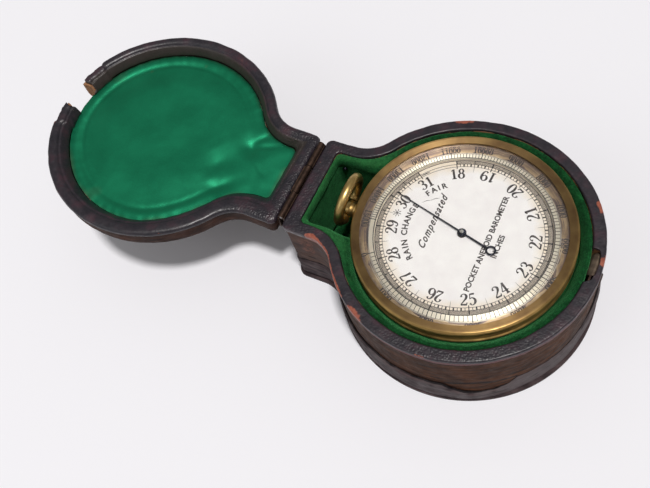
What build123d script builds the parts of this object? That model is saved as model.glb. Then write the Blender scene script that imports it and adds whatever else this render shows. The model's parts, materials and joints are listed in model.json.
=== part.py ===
from build123d import *
from math import cos, hypot, pi, radians, sin, sqrt
import os

# Pocket aneroid barometer with an altitude ring, in its leather-covered case, which lies open.
# Millimetres. Origin: centre of the round case on the surface it rests on. +Z is up, and +X points
# away from the hinge, so the barometer's pendant points along -X and the open lid lies beyond it.

# --- Case plan: a round body with a short square neck towards the hinge -------------------------
CASE_R = 30.0  # outside radius of the round body
NECK_HALF = 13.0  # half the neck's outside width
NECK_FILLET = 9.0  # hollow radius where neck and body meet
NECK_REACH = 39.3  # body centre to the neck's end face
NECK_CORNER = 1.5  # the end face's outside corners
INNER_CORNER = 1.2  # corners of the cavities at the neck end

# --- Base ----------------------------------------------------------------------------------------
CASE_H = 24.0  # rim above the table
SKIN = 0.8  # leather on sides and bottom
RIM_SKIN = 0.7  # leather turned over the rim
WALL = 2.7  # rim width round the body
NECK_END_WALL = 3.6  # rim width at the hinge
FLOOR_TOP = 3.0  # top of the wooden floor
PILE_FLOOR = 0.6  # velvet on the floor
BAND_T = 0.9  # bottom leather turned up round the wall
BAND_TOP = 9.5
WELL_R = 23.0  # velvet well round the barometer's drum
BEZEL_WELL_R = 25.0  # wider well round the bezel
LEDGE_Z = 20.6  # step between the two
POCKET_HALF = 9.3  # half-width of the neck pocket
POCKET_END = -35.2
PILE_TOP = 23.6  # velvet stops just under the rim

# --- Hinge and lid ---------------------------------------------------------------------------------
HINGE_X = -40.3
RIM_GAP = 0.1  # each rim lies this much below the hinge axis
HINGE_Z = CASE_H + RIM_GAP
LID_REACH = 40.4  # hinge axis to the centre of the lid
LID_TILT = 4.8  # the open lid stands this many degrees above level
LID_H = 7.5
LID_EDGE_R = 3.5  # rounded outside edge of the lid
LID_WALL = 4.0
LID_LINER = 0.4  # leather turned down inside the lid
PANEL_IN = -5.4  # inside face of the lid's wooden panel
BOARD_T = 0.5
PAD_EDGE = -2.9  # silk pad at its rim
PAD_CROWN = -2.3  # and in the middle
KNUCKLE_R = 0.75
PIN_R = 0.35
LEAF_T = 0.5
LEAF_H = 5.0
HINGE_HALF = 11.0
MID_HALF = 3.8  # half-length of the lid's middle knuckle
KNUCKLE_GAP = 0.15
BASE_FACE = -NECK_REACH - HINGE_X  # hinge axis to the end face of the base's neck
LID_FACE = LID_REACH - NECK_REACH  # and of the lid's
NAIL_R = 0.3
NAIL_LENGTH = 2.4
NAIL_Z = -3.3  # nails below the hinge axis
NAIL_Y = (-8.0, 0.0, 8.0)

# --- Catch -----------------------------------------------------------------------------------------
MORTISE_LOW = (26.5, -2.4, 15.0)
MORTISE_HIGH = (28.95, 5.8, CASE_H)
CATCH_Y = (MORTISE_LOW[1] + MORTISE_HIGH[1]) / 2
BUTTON_Z = 18.5
BUTTON_R = 1.6
BUTTON_OUT = 30.3  # outer end of the push button
BUTTON_IN = 28.7
BITE_HALF = 3.6  # torn notch in the lid wall, where the hook plate sat
BITE_Y = 1.6
BITE_DEPTH = 4.6

# --- Barometer case ----------------------------------------------------------------------------------
DRUM_R = 22.5
DRUM_T = 0.6
DRUM_LOW = 3.8
DRUM_TOP = 21.6
BEZEL_R = 24.6
BEZEL_LOW = 20.9
BEZEL_TOP = 25.5
BEZEL_FIT = 0.06  # radial running fit of the bezel on the drum
RING_IN = 19.5
RING_OUT = 23.1
RING_LOW = 22.7
RING_T = 0.4
GLASS_R = 23.1
GLASS_LOW = 24.25
GLASS_TOP = 25.35
DIAL_R = 21.3
DIAL_LOW = 21.9
DIAL_T = 0.5

# --- Pendant and bow ------------------------------------------------------------------------------------
BOW_X = -29.0  # pivot of the bow
BOW_Z = 17.2
BOW_R = 5.5  # middle of the bow's wire
BOW_WIRE = 1.15
BOW_END_Y = 3.0
BOW_LEAN = 80.0  # angle of the bow above the +X direction
BOW_PIN_R = 0.45
BOW_FIT = 0.05
EYE_R = 1.45
EYE_LOW = 2.2  # inner faces of its balls
EYE_HIGH = 3.7  # ends of the pivot pin inside them
PENDANT_R = 1.9

# --- Movement ---------------------------------------------------------------------------------------------
PLATE_R = 21.0
PLATE_LOW = DRUM_LOW + DRUM_T
PLATE_T = 1.0
PLATE_TOP = PLATE_LOW + PLATE_T
CAPSULE_R = 11.0
CAPSULE_LOW = PLATE_TOP + 0.6
CAPSULE_H = 4.0
POST_TOP = 12.2
SPRING_T = 0.8
SPRING_Z = POST_TOP
SPRING_BEND_X = 14.5
SPRING_HALF = 3.5
SPRING_FREE_X = -2.0
LEVER_LOW = SPRING_Z + SPRING_T
LEVER_TIP_X = -11.6
SHAFT_X = -14.0
SHAFT_Z = 10.0
SHAFT_R = 0.6
SHAFT_HALF = 6.0
CHAIN_Z = 18.0
BRIDGE_LOW = 19.0
BRIDGE_T = 0.8
BRIDGE_REACH = 17.5
ARBOR_R = 0.45
ARBOR_LOW = 16.6
ARBOR_TOP = 23.6
HAND_LOW = 22.95
HAND_T = 0.2
HAND_TIP = 18.3
HAND_TAIL = 8.8
HAND_ANGLE = 164.7  # where the hand stands, anticlockwise from +X
SCREW_X = 16.5  # adjusting screw in the back
SCREW_R = 0.9

NODES = {}


def node(name, shape):
    """Keeps a finished piece under the name it is written with."""
    NODES[name] = shape


def prism(face, low, high):
    return Pos(0, 0, low) * extrude(face, high - low)


def block(low, high):
    """A box between two opposite corners."""
    size = [b - a for a, b in zip(low, high)]
    middle = [(a + b) / 2 for a, b in zip(low, high)]
    return Pos(*middle) * Box(*size)


def disc(radius, low, high, x=0.0, y=0.0):
    return Pos(x, y, (low + high) / 2) * Cylinder(radius, high - low)


def rod_y(radius, low, high, x, z):
    """A cylinder along Y."""
    return Pos(x, (low + high) / 2, z) * Rot(90, 0, 0) * Cylinder(radius, high - low)


def rod_x(radius, low, high, y, z):
    """A cylinder along X."""
    return Pos((low + high) / 2, y, z) * Rot(0, 90, 0) * Cylinder(radius, high - low)


def turned(points):
    """A turned piece: the closed outline given as (radius, height), spun about the Z axis."""
    face = Plane.XZ * make_face(Polyline(*points, close=True))
    return revolve(face, Axis.Z)


def outline(inset=0.0, end_inset=None, corner=None):
    """The case's plan, drawn in by inset on every side (end_inset at the neck's end)."""
    r, w, f = CASE_R - inset, NECK_HALF - inset, NECK_FILLET + inset
    end = -NECK_REACH + (inset if end_inset is None else end_inset)
    c = max(NECK_CORNER - inset, 0.4) if corner is None else corner
    fx, fy = -sqrt((r + f) ** 2 - (w + f) ** 2), w + f  # centre of the hollow radius
    k = r / (r + f)
    mx, my = -fx / (r + f), -fy / (r + f) - 1
    m = f / hypot(mx, my)
    s = c * (1 - sqrt(0.5))

    def side(sign):
        return [
            ThreePointArc((end, sign * (w - c)), (end + s, sign * (w - s)), (end + c, sign * w)),
            Line((end + c, sign * w), (fx, sign * w)),
            ThreePointArc(
                (fx, sign * w), (fx + mx * m, sign * (fy + my * m)), (fx * k, sign * fy * k)
            ),
        ]

    round_body = ThreePointArc((fx * k, fy * k), (r, 0), (fx * k, -fy * k))
    end_face = Line((end, w - c), (end, c - w))
    return make_face([*side(1), *side(-1), round_body, end_face])


def rounded_block(inset, low, high, radius):
    """The plan raised from low to high, with the lower outside edge rounded."""
    solid = prism(outline(inset), low, high)
    return fillet(solid.faces().sort_by(Axis.Z)[0].edges(), radius)


def base_case():
    """Wooden body, its leather and its velvet."""
    mortise = block(MORTISE_LOW, MORTISE_HIGH)
    button_hole = rod_x(BUTTON_R + 0.15, 27.0, CASE_R + 1, CATCH_Y, BUTTON_Z)
    cavity = outline(WALL, NECK_END_WALL, INNER_CORNER)
    rim_low = CASE_H - RIM_SKIN
    holes = [Pos(0, 0, CASE_H) * hole for hole in nail_holes()]

    wood = prism(outline(SKIN), SKIN, rim_low) - prism(cavity, FLOOR_TOP, CASE_H)
    node("base_carcass", wood - mortise - button_hole - holes)
    side = prism(outline(), SKIN, rim_low) - prism(outline(SKIN), 0, CASE_H)
    node("base_side_leather", side - button_hole - holes)
    rim = prism(outline(), rim_low, CASE_H) - prism(cavity, 0, CASE_H + 1)
    node("base_rim_leather", rim - mortise)
    node("base_bottom_leather", prism(outline(-BAND_T), 0, SKIN))
    band = prism(outline(-BAND_T), SKIN, BAND_TOP) - prism(outline(), 0, CASE_H)
    node("base_bottom_band", band)

    pile_low = FLOOR_TOP + PILE_FLOOR
    node("base_velvet_floor", prism(cavity, FLOOR_TOP, pile_low))
    pocket = block((POCKET_END, -POCKET_HALF, 0), (0, POCKET_HALF, CASE_H + 1))
    slope = Pos(0, 0, (21.5 + PILE_TOP) / 2) * Cone(BEZEL_WELL_R, 27.2, PILE_TOP - 21.5)
    lining = prism(cavity, pile_low, PILE_TOP)
    lining -= disc(WELL_R, 0, CASE_H)
    lining -= disc(BEZEL_WELL_R, LEDGE_Z, CASE_H)
    lining -= slope + pocket
    node("base_velvet_lining", lining - mortise)
    tack = Pos(-34.1, POCKET_HALF, 18.6) * Sphere(0.7)
    node("lining_tack", tack & block((-36, POCKET_HALF - 0.5, 17), (-32, POCKET_HALF, 20)))


def catch():
    """Spring catch let into the front of the base, and its push button."""
    low_y, high_y = MORTISE_LOW[1], MORTISE_HIGH[1]
    plate = block((27.9, low_y, 15.0), (28.3, high_y, 22.6))
    plate -= block((27.0, CATCH_Y - 1.5, 19.9), (29.0, CATCH_Y + 1.5, 22.0))
    plate -= rod_x(BUTTON_R + 0.2, 27.0, 29.0, CATCH_Y, BUTTON_Z - 0.2)
    node("catch_plate", plate)
    node("catch_spring", block((26.7, CATCH_Y - 1.2, 15.4), (26.95, CATCH_Y + 1.2, 22.4)))
    stem = rod_x(BUTTON_R, BUTTON_IN, BUTTON_OUT, CATCH_Y, BUTTON_Z)
    node("push_button", fillet(stem.faces().sort_by(Axis.X)[-1].edges(), 0.4))


def nail_holes():
    """Nail holes in a neck's end face, in the frame of the plan with the rim at z=0."""
    low = -NECK_REACH
    return [rod_x(NAIL_R, low, low + NAIL_LENGTH - LEAF_T, y, NAIL_Z + RIM_GAP) for y in NAIL_Y]


def hinge_leaf(face, own_ranges, other_ranges):
    """A leaf with its knuckles' axis at the origin and its plate below, lying on the end face at +X."""
    near = face - LEAF_T
    leaf = block((near, -HINGE_HALF, -LEAF_H), (face, HINGE_HALF, 0))
    for low, high in other_ranges:
        leaf -= block((near - 1, low - KNUCKLE_GAP, -1.15), (2, high + KNUCKLE_GAP, 1))
    for low, high in own_ranges:
        leaf += rod_y(KNUCKLE_R, low, high, 0, 0)
    return leaf - [rod_x(NAIL_R, 0, 2, y, NAIL_Z) for y in NAIL_Y]


def hinge_nails(face):
    """Flat-headed nails through a leaf's plate, in the leaf's own frame."""
    plate = face - LEAF_T
    shanks = [rod_x(NAIL_R, plate, plate + NAIL_LENGTH, y, NAIL_Z) for y in NAIL_Y]
    heads = [rod_x(0.5, plate - 0.15, plate, y, NAIL_Z) for y in NAIL_Y]
    return Compound([shank + head for shank, head in zip(shanks, heads)])


def in_lid(shape):
    """From the lid's own frame (plan centre at the origin, rim at z=0, neck along -X) to the open lid."""
    hinge = Pos(HINGE_X, 0, HINGE_Z) * Rot(0, LID_TILT, 0)
    return hinge * Pos(-LID_REACH, 0, -RIM_GAP) * Rot(0, 0, 180) * shape


def hinge():
    outer = [(-HINGE_HALF, -MID_HALF - KNUCKLE_GAP), (MID_HALF + KNUCKLE_GAP, HINGE_HALF)]
    middle = [(-MID_HALF, MID_HALF)]
    base_side = Pos(HINGE_X, 0, HINGE_Z)
    lid_side = base_side * Rot(0, LID_TILT, 0) * Rot(0, 0, 180)
    base_leaf = hinge_leaf(BASE_FACE, outer, middle) - rod_y(PIN_R + 0.01, -12, 12, 0, 0)
    lid_leaf = hinge_leaf(LID_FACE, middle, outer) - rod_y(PIN_R + 0.05, -12, 12, 0, 0)
    node("hinge_leaf_base", base_side * base_leaf)
    node("hinge_nails_base", base_side * hinge_nails(BASE_FACE))
    node("hinge_leaf_lid", lid_side * lid_leaf)
    node("hinge_nails_lid", lid_side * hinge_nails(LID_FACE))
    node("hinge_pin", base_side * rod_y(PIN_R, -HINGE_HALF, HINGE_HALF, 0, 0))


def lid():
    """Wooden shell, its leather, the silk pad and the board behind it."""
    bite = block(
        (CASE_R - BITE_DEPTH, -BITE_Y - BITE_HALF, -LID_H - 1), (CASE_R + 1, BITE_HALF - BITE_Y, 1)
    )
    cavity = outline(LID_WALL, LID_WALL + 0.4, INNER_CORNER)
    liner_out = outline(LID_WALL - LID_LINER, LID_WALL, INNER_CORNER)
    holes = nail_holes()

    skin = rounded_block(0, -LID_H, -RIM_SKIN, LID_EDGE_R)
    core = rounded_block(SKIN, -LID_H + SKIN, 0, LID_EDGE_R - SKIN)
    node("lid_leather", in_lid(skin - core - bite - holes))
    shell = rounded_block(SKIN, -LID_H + SKIN, -RIM_SKIN, LID_EDGE_R - SKIN)
    shell -= prism(liner_out, PANEL_IN, 1)
    node("lid_carcass", in_lid(shell - bite - holes))
    rim = prism(outline(), -RIM_SKIN, 0) - prism(cavity, -LID_H, 1)
    liner = prism(liner_out, PAD_EDGE, -RIM_SKIN) - prism(cavity, -LID_H, 1)
    node("lid_rim_leather", in_lid(rim + liner - bite))
    board = prism(outline(LID_WALL, LID_WALL + 0.4, INNER_CORNER), PANEL_IN, PANEL_IN + BOARD_T)
    node("lid_pad_board", in_lid(board))
    pad = prism(outline(LID_WALL + 0.3, LID_WALL + 0.8, 1.5), PANEL_IN + BOARD_T, PAD_CROWN)
    pad = chamfer(pad.faces().sort_by(Axis.Z)[-1].edges(), PAD_CROWN - PAD_EDGE)
    hollow = block((11.3 - LID_REACH, -7.6, -LID_H), (17.2 - LID_REACH, 7.6, 1))
    node("lid_silk_pad", in_lid(pad - hollow))


def barometer_case():
    """Drum, bezel, glass, dial and altitude ring, all turned about the Z axis."""
    inside = DRUM_R - DRUM_T
    drum = disc(DRUM_R, DRUM_LOW, DRUM_TOP) - disc(inside, DRUM_LOW + DRUM_T, DRUM_TOP + 1)
    drum = fillet(drum.faces().sort_by(Axis.Z)[0].edges(), 0.5)
    node("case_drum", drum - disc(SCREW_R + 0.15, 0, DRUM_LOW + 1, SCREW_X))

    bore = DRUM_R + BEZEL_FIT
    seat = GLASS_R + 0.05
    bezel = turned(
        [
            (bore, BEZEL_LOW),
            (BEZEL_R - 0.35, BEZEL_LOW),
            (BEZEL_R, BEZEL_LOW + 0.3),
            (BEZEL_R, BEZEL_LOW + 0.75),
            (BEZEL_R - 0.25, BEZEL_LOW + 1.0),
            (BEZEL_R - 0.25, BEZEL_TOP - 1.3),
            (BEZEL_R, BEZEL_TOP - 1.0),
            (BEZEL_R - 0.05, BEZEL_TOP - 0.5),
            (BEZEL_R - 0.35, BEZEL_TOP - 0.12),
            (BEZEL_R - 0.75, BEZEL_TOP),
            (BEZEL_R - 1.15, BEZEL_TOP - 0.1),
            (GLASS_R - 0.55, GLASS_TOP - 0.12),
            (GLASS_R - 0.55, GLASS_TOP - 0.32),
            (seat, GLASS_TOP - 0.5),
            (seat, RING_LOW),
            (bore, RING_LOW),
        ]
    )
    node("bezel", bezel)
    ring = disc(RING_OUT, RING_LOW, RING_LOW + RING_T) - disc(RING_IN, 0, CASE_H)
    node("altitude_ring", ring)
    glass = turned(
        [
            (0, GLASS_LOW),
            (GLASS_R, GLASS_LOW),
            (GLASS_R, GLASS_TOP - 0.65),
            (GLASS_R - 1.9, GLASS_TOP),
            (0, GLASS_TOP),
        ]
    )
    node("crystal", glass)
    node("dial", disc(DIAL_R, DIAL_LOW, DIAL_LOW + DIAL_T) - disc(1.0, 0, CASE_H))


def pendant_and_bow():
    """Stem on the drum's side, with the bow that swings on it."""
    collar = rod_x(PENDANT_R + 0.8, -24.0, -DRUM_R + 1.2, 0, BOW_Z)
    stem = rod_x(PENDANT_R - 0.2, BOW_X - 0.2, -DRUM_R + 1.2, 0, BOW_Z)
    knob = Pos(BOW_X + 0.5, 0, BOW_Z) * Sphere(PENDANT_R + 0.25)
    knob &= block((BOW_X - 1.3, -PENDANT_R, BOW_Z - 3), (BOW_X + 3, PENDANT_R, BOW_Z + 3))
    pendant = collar + stem + knob - disc(DRUM_R, 0, CASE_H)
    node("pendant", pendant - rod_y(BOW_PIN_R, -5, 5, BOW_X, BOW_Z))

    node("bow_pin", rod_y(BOW_PIN_R, -EYE_HIGH, EYE_HIGH, BOW_X, BOW_Z))

    # drawn lying along +X from the pivot, then raised to BOW_LEAN
    centre = sqrt(BOW_R**2 - BOW_END_Y**2)
    path = ThreePointArc((0, -BOW_END_Y), (centre + BOW_R, 0), (0, BOW_END_Y))
    wire = sweep(Plane(origin=path @ 0, z_dir=path % 0) * Circle(BOW_WIRE), path=path)
    for side in (-1, 1):
        wire += Pos(0, side * BOW_END_Y, 0) * Sphere(EYE_R)
    gap = block((-EYE_R - 1, -EYE_LOW, -EYE_R - 1), (EYE_R + 1, EYE_LOW, EYE_R + 1))
    wire -= gap + rod_y(BOW_PIN_R + BOW_FIT, -EYE_HIGH - 0.1, EYE_HIGH + 0.1, 0, 0)
    node("bow_ring", Pos(BOW_X, 0, BOW_Z) * Rot(0, -BOW_LEAN, 0) * wire)


def capsule():
    """Corrugated vacuum capsule, with a post on top and a stud that holds it to the plate."""
    low, high = CAPSULE_LOW, CAPSULE_LOW + CAPSULE_H
    steps = 8
    width = CAPSULE_R / steps
    upper, lower = [], []
    for i in range(1, steps):
        dip = 0.35 if i % 2 else 0.0
        upper.append((i * width, high - dip))
        lower.append((i * width, low + dip))
    rim = [(CAPSULE_R, (low + high) / 2 - 0.4), (CAPSULE_R, (low + high) / 2 + 0.4)]
    body = turned([(0, low), *lower, *rim, *reversed(upper), (0, high)])
    post = disc(1.2, high - 1, POST_TOP)
    return body + post + disc(1.5, PLATE_TOP, low + 1)


def mainspring():
    """C-shaped leaf: its foot on the plate, its free end over the capsule's post."""
    foot_z = PLATE_TOP
    mid_z = (foot_z + SPRING_Z + SPRING_T) / 2
    r_out = (SPRING_Z + SPRING_T - foot_z) / 2
    r_in = r_out - SPRING_T
    x = SPRING_BEND_X - 1.0
    profile = make_face(
        [
            Line((SPRING_FREE_X, SPRING_Z + SPRING_T), (x, SPRING_Z + SPRING_T)),
            ThreePointArc((x, mid_z + r_out), (x + r_out, mid_z), (x, mid_z - r_out)),
            Line((x, foot_z), (x - 1.8, foot_z)),
            Line((x - 1.8, foot_z), (x - 1.8, foot_z + SPRING_T)),
            Line((x - 1.8, foot_z + SPRING_T), (x, foot_z + SPRING_T)),
            ThreePointArc((x, mid_z - r_in), (x + r_in, mid_z), (x, mid_z + r_in)),
            Line((x, SPRING_Z), (SPRING_FREE_X, SPRING_Z)),
            Line((SPRING_FREE_X, SPRING_Z), (SPRING_FREE_X, SPRING_Z + SPRING_T)),
        ]
    )
    leaf = extrude(Plane.XZ * profile, SPRING_HALF, both=True)
    return leaf


def movement():
    """Everything between the drum's back and the dial."""
    plate = disc(PLATE_R, PLATE_LOW, PLATE_TOP) - disc(SCREW_R + 0.05, 0, PLATE_TOP + 1, SCREW_X)
    node("base_plate", plate)
    node("vacuum_capsule", capsule())
    node("mainspring", mainspring())

    feet = [block((3.0, y - 1.5, PLATE_TOP), (7.0, y + 1.5, 15.2)) for y in (-14.5, 14.5)]
    beam = block((3.0, -16.0, 15.2), (7.0, 16.0, 16.6))
    node("fulcrum_bridge", feet[0] + feet[1] + beam)

    lever = block((LEVER_TIP_X - 1, -4.0, LEVER_LOW), (-2.5, -2.6, LEVER_LOW + 0.5))
    lever += block((-2.5, -4.0, LEVER_LOW), (3.0 - 0.6, 2.0, LEVER_LOW + 0.5))
    node("main_lever", lever)
    strip = block((-11.0, -3.9, LEVER_LOW + 0.5), (-3.0, -2.7, LEVER_LOW + 0.9))
    node("compensation_strip", strip)
    node("connecting_link", rod_link())

    shaft = rod_y(SHAFT_R, -SHAFT_HALF, SHAFT_HALF, SHAFT_X, SHAFT_Z)
    long_arm = block((SHAFT_X - 0.4, 0.0 - 0.5, SHAFT_Z), (SHAFT_X + 0.4, 0.5, CHAIN_Z + 0.5))
    short_arm = block((SHAFT_X, -2.4, SHAFT_Z - 0.4), (SHAFT_X + 2.6, -1.6, SHAFT_Z + 0.4))
    node("rocking_shaft", shaft + long_arm + short_arm)
    brackets = []
    for side in (-1, 1):
        y = side * (SHAFT_HALF - 1.0)
        post = block((SHAFT_X - 1.2, y - 0.5, PLATE_TOP), (SHAFT_X + 1.2, y + 0.5, SHAFT_Z + 1.4))
        brackets.append(post - rod_y(SHAFT_R + 0.04, y - 1, y + 1, SHAFT_X, SHAFT_Z))
    node("shaft_brackets", Compound(brackets))

    chain = rod_x(0.12, SHAFT_X + 0.5, -0.9, 0, CHAIN_Z)
    node("chain", chain)
    arbor = disc(ARBOR_R, ARBOR_LOW, ARBOR_TOP)
    arbor += disc(0.75, CHAIN_Z - 0.5, CHAIN_Z + 0.4)
    node("hand_arbor", arbor)
    node("hairspring", hairspring())
    bar = block((-2.5, -BRIDGE_REACH - 1.5, BRIDGE_LOW), (2.5, BRIDGE_REACH + 1.5, BRIDGE_LOW + BRIDGE_T))
    node("arbor_bridge", bar - disc(ARBOR_R + 0.05, 0, CASE_H))
    legs = [disc(1.0, PLATE_TOP, BRIDGE_LOW, 0, y) for y in (-BRIDGE_REACH, BRIDGE_REACH)]
    node("bridge_pillars", Compound(legs))
    posts = [disc(1.1, PLATE_TOP, DIAL_LOW, 18.6 * cos(radians(a)), 18.6 * sin(radians(a)))
             for a in (35, 145, 215, 325)]
    node("dial_pillars", Compound(posts))
    node("bridge_screws", Compound([screw_head(0, y, BRIDGE_LOW + BRIDGE_T)
                                    for y in (-BRIDGE_REACH, BRIDGE_REACH)]))
    foot_screws = [screw_head(12.4, y, PLATE_TOP + SPRING_T) for y in (-2.0, 2.0)]
    node("spring_screws", Compound(foot_screws))
    adjuster = disc(SCREW_R, DRUM_LOW + 0.1, PLATE_TOP - 0.1, SCREW_X)
    slot = block((SCREW_X - 2, -0.15, 0), (SCREW_X + 2, 0.15, DRUM_LOW + 0.5))
    node("adjusting_screw", adjuster - slot)


def rod_link():
    """Thin link from the lever's tip down beside the rocking shaft's short arm."""
    return disc(0.3, SHAFT_Z - 0.2, LEVER_LOW, LEVER_TIP_X, -3.2)


def screw_head(x, y, z):
    """A slotted cheese head standing on a face at height z."""
    head = disc(0.9, z, z + 0.6, x, y)
    return head - block((x - 1, y - 0.12, z + 0.35), (x + 1, y + 0.12, z + 1))


def hairspring():
    """Flat spiral spring round the arbor, with a stud at its outer end."""
    turns, start, pitch, thick, steps = 4, 0.95, 0.42, 0.12, 16
    inner, outer = [], []
    for i in range(turns * steps + 1):
        angle = 2 * pi * i / steps
        r = start + pitch * i / steps
        inner.append((r * cos(angle), r * sin(angle)))
        outer.append(((r + thick) * cos(angle), (r + thick) * sin(angle)))
    face = make_face(Polyline(*inner, *reversed(outer), close=True))
    ribbon = prism(face, 17.0, 17.25)
    end = start + pitch * turns
    return ribbon + block((end - 0.1, -0.4, 16.8), (end + 0.7, 0.4, BRIDGE_LOW))


def hand():
    """Fine hand with a counterpoise ring on its tail, and its boss."""
    half, tip_half = 0.22, 0.08
    blade = make_face(
        Polyline((-HAND_TAIL + 2, -half), (HAND_TIP, -tip_half), (HAND_TIP, tip_half),
                 (-HAND_TAIL + 2, half), close=True)
    )
    ring = Pos(-HAND_TAIL + 1.15, 0) * (Circle(1.15) - Circle(0.75))
    plan = blade + ring + Circle(1.0)
    shape = prism(plan, HAND_LOW, HAND_LOW + HAND_T) + disc(0.75, HAND_LOW, ARBOR_TOP - 0.15)
    shape -= disc(ARBOR_R, 0, CASE_H)
    return Rot(0, 0, HAND_ANGLE) * shape


def main():
    base_case()
    catch()
    hinge()
    lid()
    barometer_case()
    pendant_and_bow()
    movement()
    node("hand", hand())
    os.makedirs("parts", exist_ok=True)
    for name, shape in NODES.items():
        export_step(shape, f"parts/{name}.step")


main()
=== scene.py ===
"""Looks of the pocket aneroid barometer and its open case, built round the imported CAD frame."""

import json
import math

import bmesh
import bpy
import numpy as np
from mathutils import Matrix, Vector
from mathutils.geometry import delaunay_2d_cdt


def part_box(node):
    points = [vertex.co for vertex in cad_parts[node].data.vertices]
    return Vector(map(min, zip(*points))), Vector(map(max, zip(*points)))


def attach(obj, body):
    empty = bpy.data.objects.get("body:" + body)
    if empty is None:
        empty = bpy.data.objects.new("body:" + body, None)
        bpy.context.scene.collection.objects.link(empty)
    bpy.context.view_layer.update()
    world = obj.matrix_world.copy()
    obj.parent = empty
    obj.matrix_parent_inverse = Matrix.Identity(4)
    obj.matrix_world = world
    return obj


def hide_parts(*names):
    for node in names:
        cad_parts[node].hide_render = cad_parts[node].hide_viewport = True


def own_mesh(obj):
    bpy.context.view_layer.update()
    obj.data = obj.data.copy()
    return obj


MM = 0.001

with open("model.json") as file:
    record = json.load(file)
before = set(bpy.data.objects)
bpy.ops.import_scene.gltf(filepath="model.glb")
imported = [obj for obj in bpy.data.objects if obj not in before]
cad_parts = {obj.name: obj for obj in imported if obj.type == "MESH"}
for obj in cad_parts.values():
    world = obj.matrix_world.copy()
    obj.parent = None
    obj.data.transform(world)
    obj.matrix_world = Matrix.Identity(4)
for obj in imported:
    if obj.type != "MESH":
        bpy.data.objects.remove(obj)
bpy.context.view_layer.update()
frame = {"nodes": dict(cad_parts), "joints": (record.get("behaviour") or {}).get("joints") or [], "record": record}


def box_mm(node):
    """Lowest and highest corner of a CAD node, in millimetres."""
    return [np.array(corner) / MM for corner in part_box(node)]


# --- Places and sizes, in millimetres, read from the frame -----------------------------------------
RIM_LOW, RIM_HIGH = box_mm("base_rim_leather")
CASE_R = RIM_HIGH[1]
CASE_H = RIM_HIGH[2]
NECK_REACH = -RIM_LOW[0]  # from the dial's centre to the neck's end
BAND_T = box_mm("base_bottom_band")[1][1] - CASE_R
BAND_TOP = box_mm("base_bottom_band")[1][2]
DIAL_TOP = box_mm("dial")[1][2]
RING_TOP = box_mm("altitude_ring")[1][2]
JOINTS = {joint["name"]: joint for joint in frame["joints"]}
HINGE = np.array(JOINTS["lid_hinge"]["pos_m"]) / MM

# --- Sizes that the boxes don't give ---------------------------------------------------------------
NECK_HALF = 13.0
NECK_FILLET = 9.0
NECK_CORNER = 1.5
WALL = 2.7
NECK_END_WALL = 3.6
LID_REACH = 40.4  # from the lid's centre to the hinge pin
LID_TILT = 4.8  # degrees that the open lid stands past level
LID_H = 7.5
LID_EDGE_R = 3.5
LID_WALL = 4.0
RIM_GAP = HINGE[2] - CASE_H
BEZEL_WELL_R = 25.0
DRUM_WELL_R = 23.0
LEDGE_Z = 20.6
FLOOR_Z = 3.5
POCKET_END = 35.2
POCKET_HALF = 9.3
POCKET_CORNER = 1.2
BITE_MIDDLE = -1.6
CATCH_Y = 1.7
BUTTON_Z = 18.5
BUTTON_HOLE_R = 1.8

LID_MATRIX = (
    Matrix.Translation(Vector(HINGE * MM))
    @ Matrix.Rotation(math.radians(LID_TILT), 4, "Y")
    @ Matrix.Translation(Vector((-LID_REACH, 0, -RIM_GAP)) * MM)
    @ Matrix.Rotation(math.pi, 4, "Z")
)


# --- Camera, lights and floor ----------------------------------------------------------------------
def camera():
    """The viewing angle: from the front, turned a little to the left, about 61 degrees above the table."""
    data = bpy.data.cameras.new("camera")
    data.sensor_width = 36.0
    data.lens = 41.46
    eye = Vector((33.96, -72.50, 169.89)) * MM
    right = Vector((0.87915, 0.43574, -0.19296))
    up = Vector((-0.30909, 0.82956, 0.46508))
    turn = Matrix((right, up, right.cross(up))).transposed()
    obj = bpy.data.objects.new("camera", data)
    obj.matrix_world = Matrix.Translation(eye) @ turn.to_4x4()
    bpy.context.scene.collection.objects.link(obj)
    bpy.context.scene.camera = obj


def lamp(name, kind, power, colour, place, aim=(0, 0, 0)):
    """A lamp at place, turned to aim. A sun takes only its direction from them."""
    data = bpy.data.lights.new(name, kind)
    data.energy = power
    data.color = colour
    obj = bpy.data.objects.new(name, data)
    obj.location = place
    obj.rotation_euler = (Vector(aim) - Vector(place)).to_track_quat("-Z", "Y").to_euler()
    obj.visible_transmission = False  # its light already passes the glass as shadow rays
    bpy.context.scene.collection.objects.link(obj)
    return data


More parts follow.
